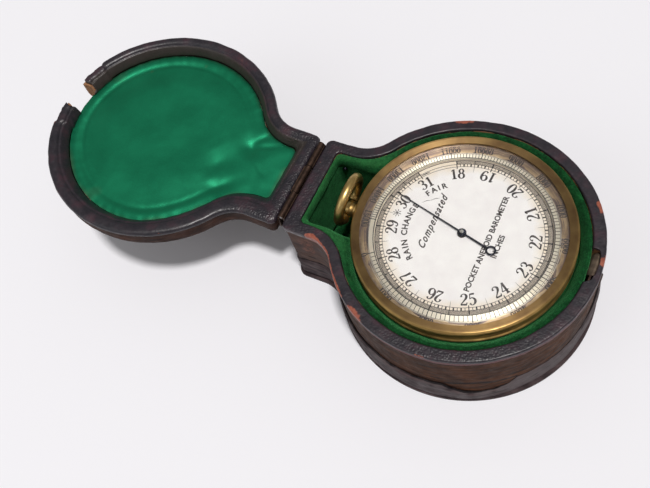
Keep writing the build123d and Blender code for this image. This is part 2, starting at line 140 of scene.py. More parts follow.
def stage():
    """A soft sun, a weak fill, a pale sky that shows whiter to the camera, and a white table top."""
    key = lamp("key", "SUN", 2.35, (1.0, 0.97, 0.945), (0.22, -0.115, 1.0))
    key.angle = math.radians(7.0)
    fill = lamp("fill", "AREA", 0.5, (0.95, 0.97, 1.0), (-0.35, -0.5, 0.45), (0, 0, 0.01))
    fill.shape = "DISK"
    fill.size = 0.5
    world = bpy.data.worlds.new("world")
    world.use_nodes = True
    tree = world.node_tree
    glow = tree.nodes["Background"]
    glow.inputs["Color"].default_value = (1.0, 0.98, 0.96, 1)
    glow.inputs["Strength"].default_value = 0.26
    backdrop = tree.nodes.new("ShaderNodeBackground")
    backdrop.inputs["Color"].default_value = (0.83, 0.83, 0.87, 1)
    seen = tree.nodes.new("ShaderNodeLightPath")
    both = tree.nodes.new("ShaderNodeMixShader")
    tree.links.new(seen.outputs["Is Camera Ray"], both.inputs[0])
    tree.links.new(glow.outputs[0], both.inputs[1])
    tree.links.new(backdrop.outputs[0], both.inputs[2])
    tree.links.new(both.outputs[0], tree.nodes["World Output"].inputs["Surface"])
    bpy.context.scene.world = world
    bpy.context.scene.view_settings.view_transform = "Standard"
    mesh = bpy.data.meshes.new("floor")
    reach = 3.0  # metres
    corners = [(-reach, -reach, 0), (reach, -reach, 0), (reach, reach, 0), (-reach, reach, 0)]
    mesh.from_pydata(corners, [], [(0, 1, 2, 3)])
    floor = bpy.data.objects.new("floor", mesh)
    look = Look("floor_white", {"Roughness": 0.75, "Base Color": (0.87, 0.875, 0.92, 1)})
    mesh.materials.append(look.mat)
    bpy.context.scene.collection.objects.link(floor)


# --- Materials: a Principled shader and short calls for the nodes that feed it ---------------------
class Look:
    """One material."""

    def __init__(self, name, values=None):
        self.mat = bpy.data.materials.new(name)
        self.mat.use_nodes = True
        self.tree = self.mat.node_tree
        self.bsdf = self.tree.nodes["Principled BSDF"]
        for key, value in (values or {}).items():
            self.bsdf.inputs[key].default_value = value
        self.heights = None

    def node(self, kind, inputs=None, **settings):
        """A new node: inputs are values or sockets to feed it, settings are its properties."""
        made = self.tree.nodes.new(kind)
        for key, value in settings.items():
            setattr(made, key, value)
        for key, value in (inputs or {}).items():
            self.feed(value, made.inputs[key])
        return made

    def feed(self, value, socket):
        """Links another node's output to a socket, or sets a plain value on it."""
        if isinstance(value, bpy.types.NodeSocket):
            self.tree.links.new(value, socket)
        else:
            socket.default_value = value

    def set(self, key, value):
        """Feeds the shader itself."""
        self.feed(value, self.bsdf.inputs[key])

    def place(self, scale=(1, 1, 1)):
        """Places on the piece in millimetres, stretched by scale."""
        coords = self.node("ShaderNodeTexCoord").outputs["Object"]
        size = tuple(s / MM for s in scale)
        return self.node("ShaderNodeMapping", {"Vector": coords, "Scale": size}).outputs[0]

    def noise(self, size, detail=3.0, rough=0.55, stretch=(1, 1, 1)):
        """Noise whose features are about size millimetres across."""
        where = self.place(stretch)
        inputs = {"Vector": where, "Scale": 1 / size, "Detail": detail, "Roughness": rough}
        return self.node("ShaderNodeTexNoise", inputs).outputs["Fac"]

    def rings(self, radius, scale):
        """Noise that changes with a radius only."""
        inputs = {"W": radius, "Scale": scale, "Detail": 2.0}
        return self.node("ShaderNodeTexNoise", inputs, noise_dimensions="1D").outputs["Fac"]

    def grain(self, size):
        """Rounded pebbles about size millimetres across."""
        inputs = {"Vector": self.place(), "Scale": 1 / size}
        return self.node("ShaderNodeTexVoronoi", inputs, feature="SMOOTH_F1").outputs["Distance"]

    def ramp(self, fac, stops):
        """Colours, or grey levels, at positions from 0 to 1."""
        made = self.node("ShaderNodeValToRGB", {"Fac": fac})
        ramp = made.color_ramp
        while len(ramp.elements) < len(stops):
            ramp.elements.new(0.5)
        for element, (position, colour) in zip(ramp.elements, stops):
            element.position = position
            if isinstance(colour, (int, float)):
                colour = (colour, colour, colour)
            element.color = (*colour, 1)
        return made.outputs["Color"]

    def mix(self, fac, a, b):
        """Colour a where fac is 0, b where it is 1."""
        made = self.node("ShaderNodeMix", data_type="RGBA")
        self.feed(fac, made.inputs[0])
        for value, socket in ((a, made.inputs[6]), (b, made.inputs[7])):
            if isinstance(value, tuple):
                value = (*value, 1)
            self.feed(value, socket)
        return made.outputs[2]

    def math(self, kind, a, b):
        made = self.node("ShaderNodeMath", operation=kind)
        self.feed(a, made.inputs[0])
        self.feed(b, made.inputs[1])
        return made.outputs[0]

    def times(self, a, b):
        return self.math("MULTIPLY", a, b)

    def plus(self, a, b):
        return self.math("ADD", a, b)

    def radius(self):
        """Distance from the dial's centre, in millimetres."""
        flat = self.node("ShaderNodeVectorMath", {0: self.place((1, 1, 0))}, operation="LENGTH")
        return flat.outputs["Value"]

    def across_ring(self, low, width):
        """How far a place is across a ring that begins at radius low, in ring widths."""
        return self.math("DIVIDE", self.math("SUBTRACT", self.radius(), low), width)

    def turned(self):
        """Fine grooves round the Z axis, which stretch a reflection across them."""
        self.set("Tangent", self.node("ShaderNodeTangent", direction_type="RADIAL", axis="Z").outputs[0])

    def painted(self, name):
        """Values that paint() put on the mesh."""
        return self.node("ShaderNodeAttribute", attribute_name=name).outputs["Fac"]

    def bump(self, height, depth, strength=1.0):
        """Adds relief: depth is its height in millimetres."""
        inputs = {"Height": height, "Distance": depth * MM, "Strength": strength}
        if self.heights is not None:
            inputs["Normal"] = self.heights
        self.heights = self.node("ShaderNodeBump", inputs).outputs["Normal"]
        self.set("Normal", self.heights)


def rim_leather():
    """Blackened grained leather: pebbled, shiny, rubbed to red and tan where painted 'wear'."""
    look = Look("rim_leather", {"Specular IOR Level": 0.5, "Coat Weight": 0.17, "Coat Roughness": 0.24})
    dark = look.ramp(look.noise(4.0, 4), [(0.32, (0.006, 0.005, 0.010)), (0.5, (0.016, 0.011, 0.017)),
                                          (0.68, (0.040, 0.015, 0.024)), (0.8, (0.075, 0.024, 0.026))])
    grain = look.grain(0.42)
    dusty = look.mix(look.ramp(grain, [(0.35, 0.0), (0.75, 0.3)]), dark, (0.026, 0.023, 0.034))
    dusty = look.mix(look.ramp(look.painted("hem"), [(0.2, 0.0), (0.9, 0.9)]), dusty, (0.12, 0.026, 0.030))
    dusty = look.mix(look.ramp(look.painted("slope"), [(0.2, 0.0), (0.9, 0.8)]), dusty, (0.034, 0.025, 0.020))
    worn = look.ramp(look.noise(0.7, 5, 0.7), [(0.3, (0.20, 0.040, 0.026)), (0.7, (0.38, 0.11, 0.06))])
    edge = look.times(look.painted("wear"), look.noise(0.9, 5, 0.75))
    edge = look.ramp(edge, [(0.33, 0.0), (0.43, 1.0)])
    look.set("Base Color", look.mix(edge, dusty, worn))
    rough = look.ramp(look.noise(1.2, 4), [(0.3, 0.32), (0.7, 0.55)])
    look.set("Roughness", look.mix(look.painted("hem"), rough, (0.85, 0.85, 0.85)))
    look.bump(grain, 0.16, look.painted("grain"))
    look.bump(look.noise(0.22, 2), 0.03, 0.6)
    return look.mat


def side_leather(name, low, high):
    """Faded brown leather with streaks along the wall and scuffs, from the colour low to high."""
    look = Look(name, {"Specular IOR Level": 0.1})
    streaks = look.noise(1.6, 5, 0.6, (0.25, 0.25, 1.6))
    base = look.ramp(streaks, [(0.3, low), (0.7, high)])
    blotch = look.ramp(look.noise(6.0, 3), [(0.4, 0.0), (0.75, 0.6)])
    base = look.mix(blotch, base, tuple(0.35 * c for c in low))
    rubbed = look.times(look.painted("wear"), look.noise(0.9, 5, 0.7))
    rubbed = look.ramp(rubbed, [(0.2, 0.0), (0.4, 1.0)])
    base = look.mix(rubbed, base, (0.30, 0.10, 0.06))
    dusty = look.ramp(look.painted("dust"), [(0.2, 0.0), (0.9, 0.75)])
    base = look.mix(dusty, base, (0.125, 0.105, 0.108))
    cracked = look.times(look.painted("seam"), look.plus(look.noise(1.1, 3, 0.7), 0.35))
    cracked = look.ramp(cracked, [(0.3, 0.0), (0.62, 0.9)])
    base = look.mix(cracked, base, (0.006, 0.005, 0.006))
    look.set("Roughness", look.ramp(look.noise(2.0, 3), [(0.3, 0.55), (0.7, 0.75)]))
    scratch = look.ramp(look.noise(0.35, 4, 0.7, (0.10, 0.10, 1.3)), [(0.66, 0.0), (0.76, 0.4)])
    look.set("Base Color", look.mix(scratch, base, (0.22, 0.12, 0.075)))
    look.bump(look.grain(0.45), 0.05, 0.6)
    look.bump(streaks, 0.12, 0.7)
    return look.mat


def velvet():
    """Short-pile cotton velvet, crushed lighter here and there."""
    look = Look("velvet", {"Roughness": 0.85, "Specular IOR Level": 0.12, "Sheen Weight": 0.45,
                           "Sheen Roughness": 0.35, "Sheen Tint": (0.15, 0.7, 0.25, 1)})
    crush = look.noise(1.8, 5, 0.7)
    base = look.ramp(crush, [(0.3, (0.002, 0.022, 0.006)), (0.55, (0.004, 0.058, 0.014)),
                             (0.78, (0.013, 0.125, 0.032))])
    pile = look.noise(0.42, 4, 0.8)
    tips = look.ramp(pile, [(0.5, 0.0), (0.72, 0.75)])
    base = look.mix(tips, base, (0.022, 0.15, 0.045))
    gaps = look.ramp(look.noise(0.55, 4, 0.8), [(0.50, 0.0), (0.66, 0.85)])
    base = look.mix(gaps, base, (0.001, 0.016, 0.005))
    rubbed = look.times(look.painted("rub"), look.noise(0.5, 4, 0.7))
    look.set("Base Color", look.mix(look.ramp(rubbed, [(0.25, 0.0), (0.7, 0.8)]), base, (0.035, 0.19, 0.055)))
    look.bump(pile, 0.2, 1.0)
    look.bump(look.noise(0.5, 3), 0.12, 0.7)
    return look.mat


def silk():
    """Emerald satin: close weave, soft coloured shine, a little soiling near the rim, and painted shade along one
    edge where the silk meets the rim.
    """
    look = Look("silk", {"Metallic": 0.68, "Specular IOR Level": 0.3, "Sheen Weight": 0.12,
                         "Sheen Roughness": 0.4, "Sheen Tint": (0.2, 1.0, 0.55, 1)})
    broad = look.noise(9.0, 3, 0.5)
    base = look.ramp(broad, [(0.25, (0.005, 0.17, 0.080)), (0.75, (0.008, 0.22, 0.105))])
    fine = look.noise(0.35, 3, 0.7)
    base = look.mix(look.ramp(fine, [(0.35, 0.0), (0.8, 0.35)]), base, (0.012, 0.32, 0.15))
    soil = look.ramp(look.painted("soil"), [(0.1, 0.0), (1.0, 0.85)])
    base = look.mix(soil, base, (0.10, 0.16, 0.08))
    # painted shade: darker green along one edge of the silk, where it meets the rim
    base = look.mix(look.painted("shade"), base, (0.002, 0.03, 0.014))
    look.set("Base Color", base)
    look.set("Roughness", look.ramp(broad, [(0.3, 0.38), (0.7, 0.45)]))
    weave = look.node("ShaderNodeTexWave", {"Vector": look.place(), "Scale": 3.2,
                                            "Distortion": 0.4}, bands_direction="Y")
    look.bump(weave.outputs["Fac"], 0.01, 0.4)
    look.bump(look.noise(0.25, 3, 0.7), 0.015, 0.5)
    return look.mat


def metal(name, bright, dark, rough, spot_size):
    """Metal with a thin uneven tarnish."""
    look = Look(name, {"Metallic": 1.0})
    tarnish = look.noise(spot_size, 5, 0.65)
    look.set("Base Color", look.ramp(tarnish, [(0.35, bright), (0.72, dark)]))
    look.set("Roughness", look.ramp(look.noise(spot_size * 0.5, 4), [(0.3, rough[0]), (0.7, rough[1])]))
    look.bump(look.noise(0.3, 3), 0.008, 0.35)
    return look.mat


def turned_gilding():
    """Lacquered gilding: bright on the rolled edge, browner on the slope inside it and in the hollows. The bright
    edge is partly a painted highlight and the brown slope partly painted shade.
    """
    look = Look("gilt_brass", {"Metallic": 1.0, "Anisotropic": 0.8, "Anisotropic Rotation": 0.25})
    look.turned()
    tarnish = look.noise(5.0, 4, 0.55)
    # bright and brown are one tarnish in a lighter and a browner gilt: the lighter goes on the lip and rolled
    # edge, partly as a painted highlight
    bright = look.ramp(tarnish, [(0.35, (0.56, 0.37, 0.13)), (0.70, (0.36, 0.22, 0.08))])
    brown = look.ramp(tarnish, [(0.35, (0.38, 0.25, 0.105)), (0.70, (0.23, 0.14, 0.065))])
    reach = look.plus(look.across_ring(22.0, 3.0), look.times(look.noise(2.0, 3), 0.25 / 3.0))
    # slope is 1 between the lip and the rolled edge, where the browner gilt stands partly as painted shade
    slope = look.ramp(reach, [(0.12, 0.1), (0.20, 1.0), (0.72, 1.0), (0.79, 0.0)])
    look.set("Base Color", look.mix(slope, bright, brown))
    rough = look.ramp(look.noise(1.5, 4), [(0.3, 0.30), (0.7, 0.44)])
    look.set("Roughness", look.mix(slope, rough, (0.58, 0.58, 0.58)))
    look.bump(look.rings(look.radius(), 7.0), 0.012, 0.5)
    return look.mat


def silvered_dial():
    """Matt silvering with dark specks, yellowed towards the scale."""
    look = Look("silvered_dial", {"Specular IOR Level": 0.15})
    clouds = look.ramp(look.noise(4.0, 5, 0.6), [(0.35, (0.90, 0.86, 0.86)), (0.65, (0.97, 0.94, 0.93))])
    ring = look.math("DIVIDE", look.radius(), 20.0)
    ring = look.plus(ring, look.times(look.noise(3.0, 3), 0.16))
    base = look.mix(look.ramp(ring, [(0.86, 0.0), (1.02, 0.55)]), clouds, (0.80, 0.62, 0.38))
    specks = look.ramp(look.noise(0.35, 4, 0.75), [(0.68, 0.0), (0.76, 0.55)])
    base = look.mix(specks, base, (0.30, 0.27, 0.28))
    hairlines = look.ramp(look.noise(0.5, 4, 0.7, (0.25, 1.6, 1)), [(0.70, 0.0), (0.76, 0.35)])
    look.set("Base Color", look.mix(hairlines, base, (0.55, 0.50, 0.50)))
    look.set("Roughness", look.ramp(look.noise(0.8, 3), [(0.3, 0.62), (0.7, 0.75)]))
    look.bump(look.noise(0.18, 3), 0.01, 0.35)
    return look.mat


def silvered_ring():
    """Silvering gone gold, brown and purple."""
    look = Look("silvered_ring", {"Metallic": 0.55, "Specular IOR Level": 0.4, "Anisotropic": 0.8,
                                  "Anisotropic Rotation": 0.25})
    look.turned()
    swirl = look.plus(look.radius(), look.times(look.noise(5.0, 3), 3.0))
    streaks = look.plus(look.times(look.rings(swirl, 1.5), 0.55), -0.09)
    mottle = look.plus(look.times(look.noise(4.5, 4, 0.6), 0.55), streaks)
    base = look.ramp(mottle, [(0.32, (0.12, 0.09, 0.10)), (0.43, (0.26, 0.18, 0.13)),
                             (0.53, (0.48, 0.34, 0.18)), (0.64, (0.70, 0.52, 0.32))])
    across = look.across_ring(19.5, 3.5)
    outer = look.plus(across, look.times(look.noise(2.0, 3), 0.5))
    base = look.mix(look.ramp(outer, [(0.5, 0.0), (1.1, 0.7)]), base, (0.17, 0.115, 0.09))
    inner = look.ramp(across, [(0.32, 0.85), (0.44, 0.0)])
    look.set("Base Color", look.mix(inner, base, (0.80, 0.74, 0.62)))
    look.set("Roughness", look.ramp(look.noise(1.2, 4), [(0.3, 0.42), (0.7, 0.58)]))
    look.bump(look.noise(0.2, 3), 0.01, 0.4)
    return look.mat


def engraving_wax():
    """Black wax in the engraved marks, browned in places."""
    look = Look("engraving_wax", {"Roughness": 0.5})
    tint = look.ramp(look.noise(1.0, 3), [(0.3, (0.008, 0.006, 0.007)), (0.75, (0.035, 0.022, 0.02))])
    look.set("Base Color", tint)
    return look.mat


def wood():
    """Bare, split wood with open grain."""
    look = Look("case_wood", {"Specular IOR Level": 0.3})
    rings = look.noise(0.8, 5, 0.6, (0.3, 2.0, 2.0))
    look.set("Base Color", look.ramp(rings, [(0.3, (0.20, 0.08, 0.035)), (0.7, (0.42, 0.22, 0.11))]))
    look.set("Roughness", look.ramp(rings, [(0.3, 0.6), (0.7, 0.8)]))
    look.bump(rings, 0.15, 0.7)
    return look.mat


def pasteboard():
    """Grey-brown board."""
    look = Look("pad_board", {"Roughness": 0.9})
    fibres = look.noise(0.5, 5, 0.7)
    look.set("Base Color", look.ramp(fibres, [(0.3, (0.30, 0.24, 0.17)), (0.7, (0.42, 0.35, 0.25))]))
    look.bump(fibres, 0.05, 0.5)
    return look.mat


def clear_glass():
    """Polished glass that lets the lamps through to the dial."""
    look = Look("crystal_glass", {"Transmission Weight": 1.0, "Roughness": 0.0, "IOR": 1.45,
                                  "Base Color": (0.98, 1.0, 0.99, 1)})
    rays = look.node("ShaderNodeLightPath").outputs
    clear = look.node("ShaderNodeBsdfTransparent").outputs[0]
    glass = look.node("ShaderNodeMixShader", {0: rays["Is Diffuse Ray"], 1: look.bsdf.outputs[0], 2: clear})
    both = look.node("ShaderNodeMixShader", {0: rays["Is Shadow Ray"], 1: glass.outputs[0], 2: clear})
    look.tree.links.new(both.outputs[0], look.tree.nodes["Material Output"].inputs["Surface"])
    return look.mat


# --- Numeric helpers -------------------------------------------------------------------------------
def value_noise(points, size, seed=0):
    """Smooth noise from -1 to 1 at points (n, 3), with features about size across."""
    place = np.asarray(points, float) / size + 50.5 + seed * 7.31
    cell = np.floor(place).astype(np.int64)
    part = place - cell
    part = part * part * (3 - 2 * part)
    total = np.zeros(len(place))
    for corner in np.ndindex(2, 2, 2):
        at = cell + corner
        code = (at[:, 0] * 73856093) ^ (at[:, 1] * 19349663) ^ (at[:, 2] * 83492791) ^ (seed * 7919)
        code = ((code ^ (code >> 13)) * 1274126177) & 0xFFFFFFFF
        level = ((code ^ (code >> 16)) & 0xFFFF) / 32767.5 - 1
        share = np.prod(np.where(np.array(corner, bool), part, 1 - part), axis=1)
        total += share * level
    return total


def unit(values):
    """Values held between 0 and 1."""
    return np.clip(values, 0, 1)


def smooth_step(value, low, high):
    """0 up to low, 1 from high on, and smooth between them."""
    t = unit((np.asarray(value, float) - low) / (high - low))
    return t * t * (3 - 2 * t)


def bell(value, width):
    """1 where value is 0, fading on both sides."""
    return np.exp(-(value / width) ** 2)


def patches(place, size, seed, low, high):
    """Chance patches about size across: 0 where the noise is under low, 1 over high."""
    return smooth_step(value_noise(place, size, seed), low, high)


def near(place, x, y, reach):
    """1 at a spot in the plan, fading to 0 at reach."""
    return 1 - smooth_step(np.hypot(place[:, 0] - x, place[:, 1] - y), 0.15 * reach, reach)


def spots(place, marks):
    """Sum of spots in the plan, each given as (x, y, reach, amount)."""
    return sum(amount * near(place, x, y, reach) for x, y, reach, amount in marks)


def angle_of(place):
    """Direction in the plan from the centre, in radians."""
    return np.arctan2(place[:, 1], place[:, 0])


# --- The case's plan -------------------------------------------------------------------------------
# Points in each stretch of half an outline, from the neck's end round to the far side
STEPS = {"end": 14, "corner": 6, "side": 12, "hollow": 30, "round": 165}


def line(a, b, stretch):
    """Points along a straight stretch, without its last."""
    t = np.linspace(0, 1, STEPS[stretch], endpoint=False)[:, None]
    return np.array(a) * (1 - t) + np.array(b) * t


def arc(centre, radius, start, stop, stretch):
    """Points along an arc, without its last."""
    t = np.linspace(start, stop, STEPS[stretch], endpoint=False)
    return np.array(centre) + radius * np.stack([np.cos(t), np.sin(t)], 1)


def both_halves(lower, far_x):
    """The whole outline from the stretches of its lower half."""
    half = np.concatenate(lower)
    return np.concatenate([half, [[far_x, 0.0]], half[1:][::-1] * (1, -1)])


def plan(inset=0.0, end_inset=None, corner=None):
    """Points round the case's outline drawn in by inset, anticlockwise from the neck's end, as (n, 2).
    Points of two outlines with the same index lie on the same normal."""
    r, w, f = CASE_R - inset, NECK_HALF - inset, NECK_FILLET + inset
    end = -NECK_REACH + (inset if end_inset is None else end_inset)
    c = max(NECK_CORNER - inset, 0.4) if corner is None else corner
    fx, fy = -math.sqrt((r + f) ** 2 - (w + f) ** 2), w + f
    junction = math.atan2(fy, fx)

    lower = [
        line((end, 0), (end, c - w), "end"),
        arc((end + c, c - w), c, math.pi, 1.5 * math.pi, "corner"),
        line((end + c, -w), (fx, -w), "side"),
        arc((fx, -fy), f, math.pi / 2, math.pi - junction, "hollow"),
        arc((0, 0), r, -junction, 0, "round"),
    ]
    return both_halves(lower, r)


OUTLINE = plan()
COUNT = len(OUTLINE)
TANGENT = np.roll(OUTLINE, -1, 0) - np.roll(OUTLINE, 1, 0)
NORMAL = np.stack([TANGENT[:, 1], -TANGENT[:, 0]], 1)
NORMAL /= np.linalg.norm(NORMAL, axis=1)[:, None]
ROUNDNESS = smooth_step(OUTLINE[:, 0], -31.0, -20.0)  # 0 on the neck, 1 on the round body


def ring(inset, z, end_inset=None, corner=None):
    """The outline at a height, drawn in by inset."""
    points = plan(inset, end_inset, corner)
    return np.column_stack([points, np.broadcast_to(z, len(points))])


# --- Mesh helpers ----------------------------------------------------------------------------------
def loft_faces(rows, count, closed=False):
    """Quads between rows of count points; closed joins the last row to the first."""
    faces = []
    for i in range(rows if closed else rows - 1):
        a, b = i * count, (i + 1) % rows * count
        for j in range(count):
            k = (j + 1) % count
            faces.append((a + j, a + k, b + k, b + j))
    return faces


def fill_outline(outline, spacing):
    """Triangles that fill an outline (n, 2): returns points, with the outline's first, and faces."""
    low, high = outline.min(0), outline.max(0)
    xs = np.arange(low[0], high[0], spacing)
    ys = np.arange(low[1], high[1], spacing * 0.866)
    grid = np.array([(x + (k % 2) * spacing / 2, y) for k, y in enumerate(ys) for x in xs])
    inside = point_inside(grid, outline) & (edge_distance(grid, outline) > spacing * 0.6)
    points = np.concatenate([outline, grid[inside]])
    n = len(outline)
    edges = [(i, (i + 1) % n) for i in range(n)]
    result = delaunay_2d_cdt([Vector(p) for p in points], edges, [list(range(n))], 1, 1e-7)
    return np.array([tuple(v) for v in result[0]]), [tuple(f) for f in result[2]]


def point_inside(points, outline):
    """Which points lie inside a closed outline, by counting the edges to one side."""
    x, y = points[:, 0][:, None], points[:, 1][:, None]
    a, b = outline, np.roll(outline, -1, 0)
    crosses = (a[:, 1] > y) != (b[:, 1] > y)
    with np.errstate(divide="ignore", invalid="ignore"):
        at = a[:, 0] + (y - a[:, 1]) * (b[:, 0] - a[:, 0]) / (b[:, 1] - a[:, 1])
    return (crosses & (x < at)).sum(1) % 2 == 1


def edge_distance(points, outline):
    """Distance from each point to the nearest stretch of a closed outline."""
    best = np.full(len(points), 1e9)
    a, b = outline, np.roll(outline, -1, 0)
    for p, q in zip(a, b):
        d = q - p
        t = np.clip(((points - p) @ d) / max(d @ d, 1e-12), 0, 1)
        gap = np.linalg.norm(points - (p + t[:, None] * d), axis=1)
        best = np.minimum(best, gap)
    return best


def outward(obj):
    """Turns every face outwards."""
    bm = bmesh.new()
    bm.from_mesh(obj.data)
    bmesh.ops.recalc_face_normals(bm, faces=bm.faces)
    bm.to_mesh(obj.data)
    bm.free()


def add(name, mesh, mat, body):
    """A new object riding on a body."""
    mesh.materials.clear()
    mesh.materials.append(mat)
    obj = bpy.data.objects.new(name, mesh)
    bpy.context.scene.collection.objects.link(obj)
    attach(obj, body)
    return obj


def piece(name, points, faces, mat, body, stands_for=None, smooth=True):
    """A closed mesh given in millimetres. It takes the place of the CAD node that it stands for."""
    mesh = bpy.data.meshes.new(name)
    mesh.from_pydata((np.asarray(points) * MM).tolist(), [], faces)
    mesh.polygons.foreach_set("use_smooth", [smooth] * len(mesh.polygons))
    mesh.update()
    obj = add(name, mesh, mat, body)
    if stands_for:
        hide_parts(stands_for)
    outward(obj)
    return obj


def paint(obj, **layers):
    """Values at the mesh's points, for the materials to read."""
    for name, values in layers.items():
        layer = obj.data.attributes.new(name, "FLOAT", "POINT")
        layer.data.foreach_set("value", np.asarray(values, np.float32))


def rings_piece(name, rings, mat, body, stands_for):
    """A piece whose section goes round the outline: its rings, joined last to first."""
    faces = loft_faces(len(rings), COUNT, True)
    return piece(name, np.concatenate(rings), faces, mat, body, stands_for)


def wall_ring(inset, z, wall, end_wall, corner=POCKET_CORNER):
    """A ring inside a wall that is wall thick round the body and end_wall thick at the neck's end."""
    share = inset / wall
    return ring(inset, z, share * end_wall, NECK_CORNER + (corner - NECK_CORNER) * max(share, 0))


def well_ring(radius, z):
    """The velvet's inside edge: a circle of this radius, opened into the neck pocket."""
    end, half, corner = POCKET_END, POCKET_HALF, POCKET_CORNER
    step_x = -31.0
    meet = math.asin(half / radius)
    lower = [
        line((-end, 0), (-end, corner - half), "end"),
        arc((corner - end, corner - half), corner, math.pi, 1.5 * math.pi, "corner"),
        line((corner - end, -half), (step_x, -half), "side"),
        line((step_x, -half), (-radius * math.cos(meet), -half), "hollow"),
        arc((0, 0), radius, meet - math.pi, 0, "round"),
    ]
    points = both_halves(lower, radius)
    return np.column_stack([points, np.full(len(points), float(z))])


def jitter(rings, size, depth, seed, rise=0.0):
    """Uneven surface: moves rings along the outline's normal by depth and up by rise."""
    out = []
    for points in rings:
        moved = points.copy()
        moved[:, :2] += NORMAL * (value_noise(points, size, seed) * depth)[:, None]
        moved[:, 2] += value_noise(points, size, seed + 5) * rise
        out.append(moved)
    return out


def verts(obj):
    """The mesh's points in millimetres."""
    flat = np.empty(3 * len(obj.data.vertices))
    obj.data.vertices.foreach_get("co", flat)
    return flat.reshape(-1, 3) / MM


def cutter(points, faces):
    """A solid to cut with, given in millimetres."""
    mesh = bpy.data.meshes.new("cutter")
    mesh.from_pydata((np.array(points) * MM).tolist(), [], faces)
    return bpy.data.objects.new("cutter", mesh)


def prism_cutter(outline, low, high):
    """An upright solid to cut with."""
    n = len(outline)
    faces = [tuple(range(n))[::-1], tuple(range(n, 2 * n))]
    faces += [(i, (i + 1) % n, n + (i + 1) % n, n + i) for i in range(n)]
    return cutter([(x, y, z) for z in (low, high) for x, y in outline], faces)


def rod_cutter(radius, low_x, high_x, y, z):
    """A rod along X to cut with."""
    n = 24
    turns = np.linspace(0, 2 * math.pi, n, endpoint=False)
    points = [(x, y + radius * math.cos(a), z + radius * math.sin(a)) for x in (low_x, high_x) for a in turns]
    faces = [tuple(range(n)), tuple(range(n, 2 * n))[::-1]]
    faces += [(i, n + i, n + (i + 1) % n, (i + 1) % n) for i in range(n)]
    return cutter(points, faces)


def cut(obj, tool):
    """Cuts the tool's shape out of obj, and removes the tool."""
    bpy.context.scene.collection.objects.link(tool)
    modifier = obj.modifiers.new("cut", "BOOLEAN")
    modifier.object = tool
    modifier.solver = "EXACT"
    bpy.context.view_layer.update()
    graph = bpy.context.evaluated_depsgraph_get()
    shaped = bpy.data.meshes.new_from_object(obj.evaluated_get(graph))
    obj.modifiers.clear()
    old = obj.data
    obj.data = shaped
    bpy.data.meshes.remove(old)
    mesh = tool.data
    bpy.data.objects.remove(tool)
    bpy.data.meshes.remove(mesh)


def flat_cap(points, faces, start, spacing):
    """Fills the ring of COUNT points that begins at start with a level sheet."""
    outline = points[start:start + COUNT]
    flat, triangles = fill_outline(outline[:, :2], spacing)
    new = np.column_stack([flat[COUNT:], np.full(len(flat) - COUNT, outline[:, 2].mean())])
    base = len(points)
    for triangle in triangles:
        faces.append(tuple(start + i if i < COUNT else base + i - COUNT for i in triangle))
    return np.concatenate([points, new])


def level(places):
    """Places in the plan as points at height 0."""
    return np.column_stack([places, np.zeros(len(places))])


def sheet(name, outline, spacing, height, low, cap, mat, body, stands_for):
    """A filled outline: its top lies at height(places, distances to the edge), its level bottom at low.
    Its points are spacing apart in the top, and cap apart in the bottom."""
    flat, triangles = fill_outline(outline, spacing)
    gap = edge_distance(flat, outline)
    gap[:COUNT] = 0
    count = len(flat)
    points = np.concatenate([np.column_stack([flat, height(flat, gap)]),
                             np.column_stack([outline, np.full(COUNT, low)])])
    faces = [tuple(t) for t in triangles]
    faces += [(j, (j + 1) % COUNT, count + (j + 1) % COUNT, count + j) for j in range(COUNT)]
    points = flat_cap(points, faces, count, cap)
    return piece(name, points, faces, mat, body, stands_for)


# --- The lid: its own frame has the rim plane at z = 0, the body below it and the neck along -X ----
LID_ROUND = {"wall": LID_WALL, "end_wall": LID_WALL + 0.4}
LID_LOW = LID_EDGE_R - LID_H  # where the wall turns into the rolled edge
LID_CUT = (-9, 2)  # lowest and highest z of what is cut through the lid
# Outline of the piece broken out of the front of the leather
BITE = [(25.2, -5.35), (26.6, -5.9), (27.9, -5.5), (29.2, -6.4), (32, -6.1), (32, 3.1), (30.1, 2.9),
        (28.9, 2.2), (27.5, 2.7), (26.3, 2.15), (25.2, 2.2)]
PEEL = (math.radians(-24), math.radians(17))  # outer leather gone between these angles
PEEL_DEPTH = 0.55


def peeled(rings):
    """Draws the outside in where the leather has come away beside the torn notch."""
    out = []
    for points in rings:
        angle = angle_of(points) + value_noise(points, 1.5, 21) * 0.02
        gone = smooth_step(angle, PEEL[0] - 0.01, PEEL[0] + 0.01)
        gone *= 1 - smooth_step(angle, PEEL[1] - 0.01, PEEL[1] + 0.01)
        moved = points.copy()
        moved[:, :2] -= NORMAL * (gone * PEEL_DEPTH * (1 + 0.3 * value_noise(points, 0.9, 22)))[:, None]
        out.append(moved)
    return out


def lid_wear(points, inset):
    """How far the leather is rubbed: along the outer rim, at the peeled ends and at chance spots."""
    edge = bell(points[:, 2] + 0.2, 0.55) * bell(inset, 0.5)
    ends = sum(bell(angle_of(points) - end, 0.025) for end in PEEL)
    ends *= (points[:, 2] > -6) * (inset < 0.75)
    return unit(edge * (0.15 + 0.6 * patches(points, 5.0, 31, 0.15, 0.7)) + ends * 0.9)


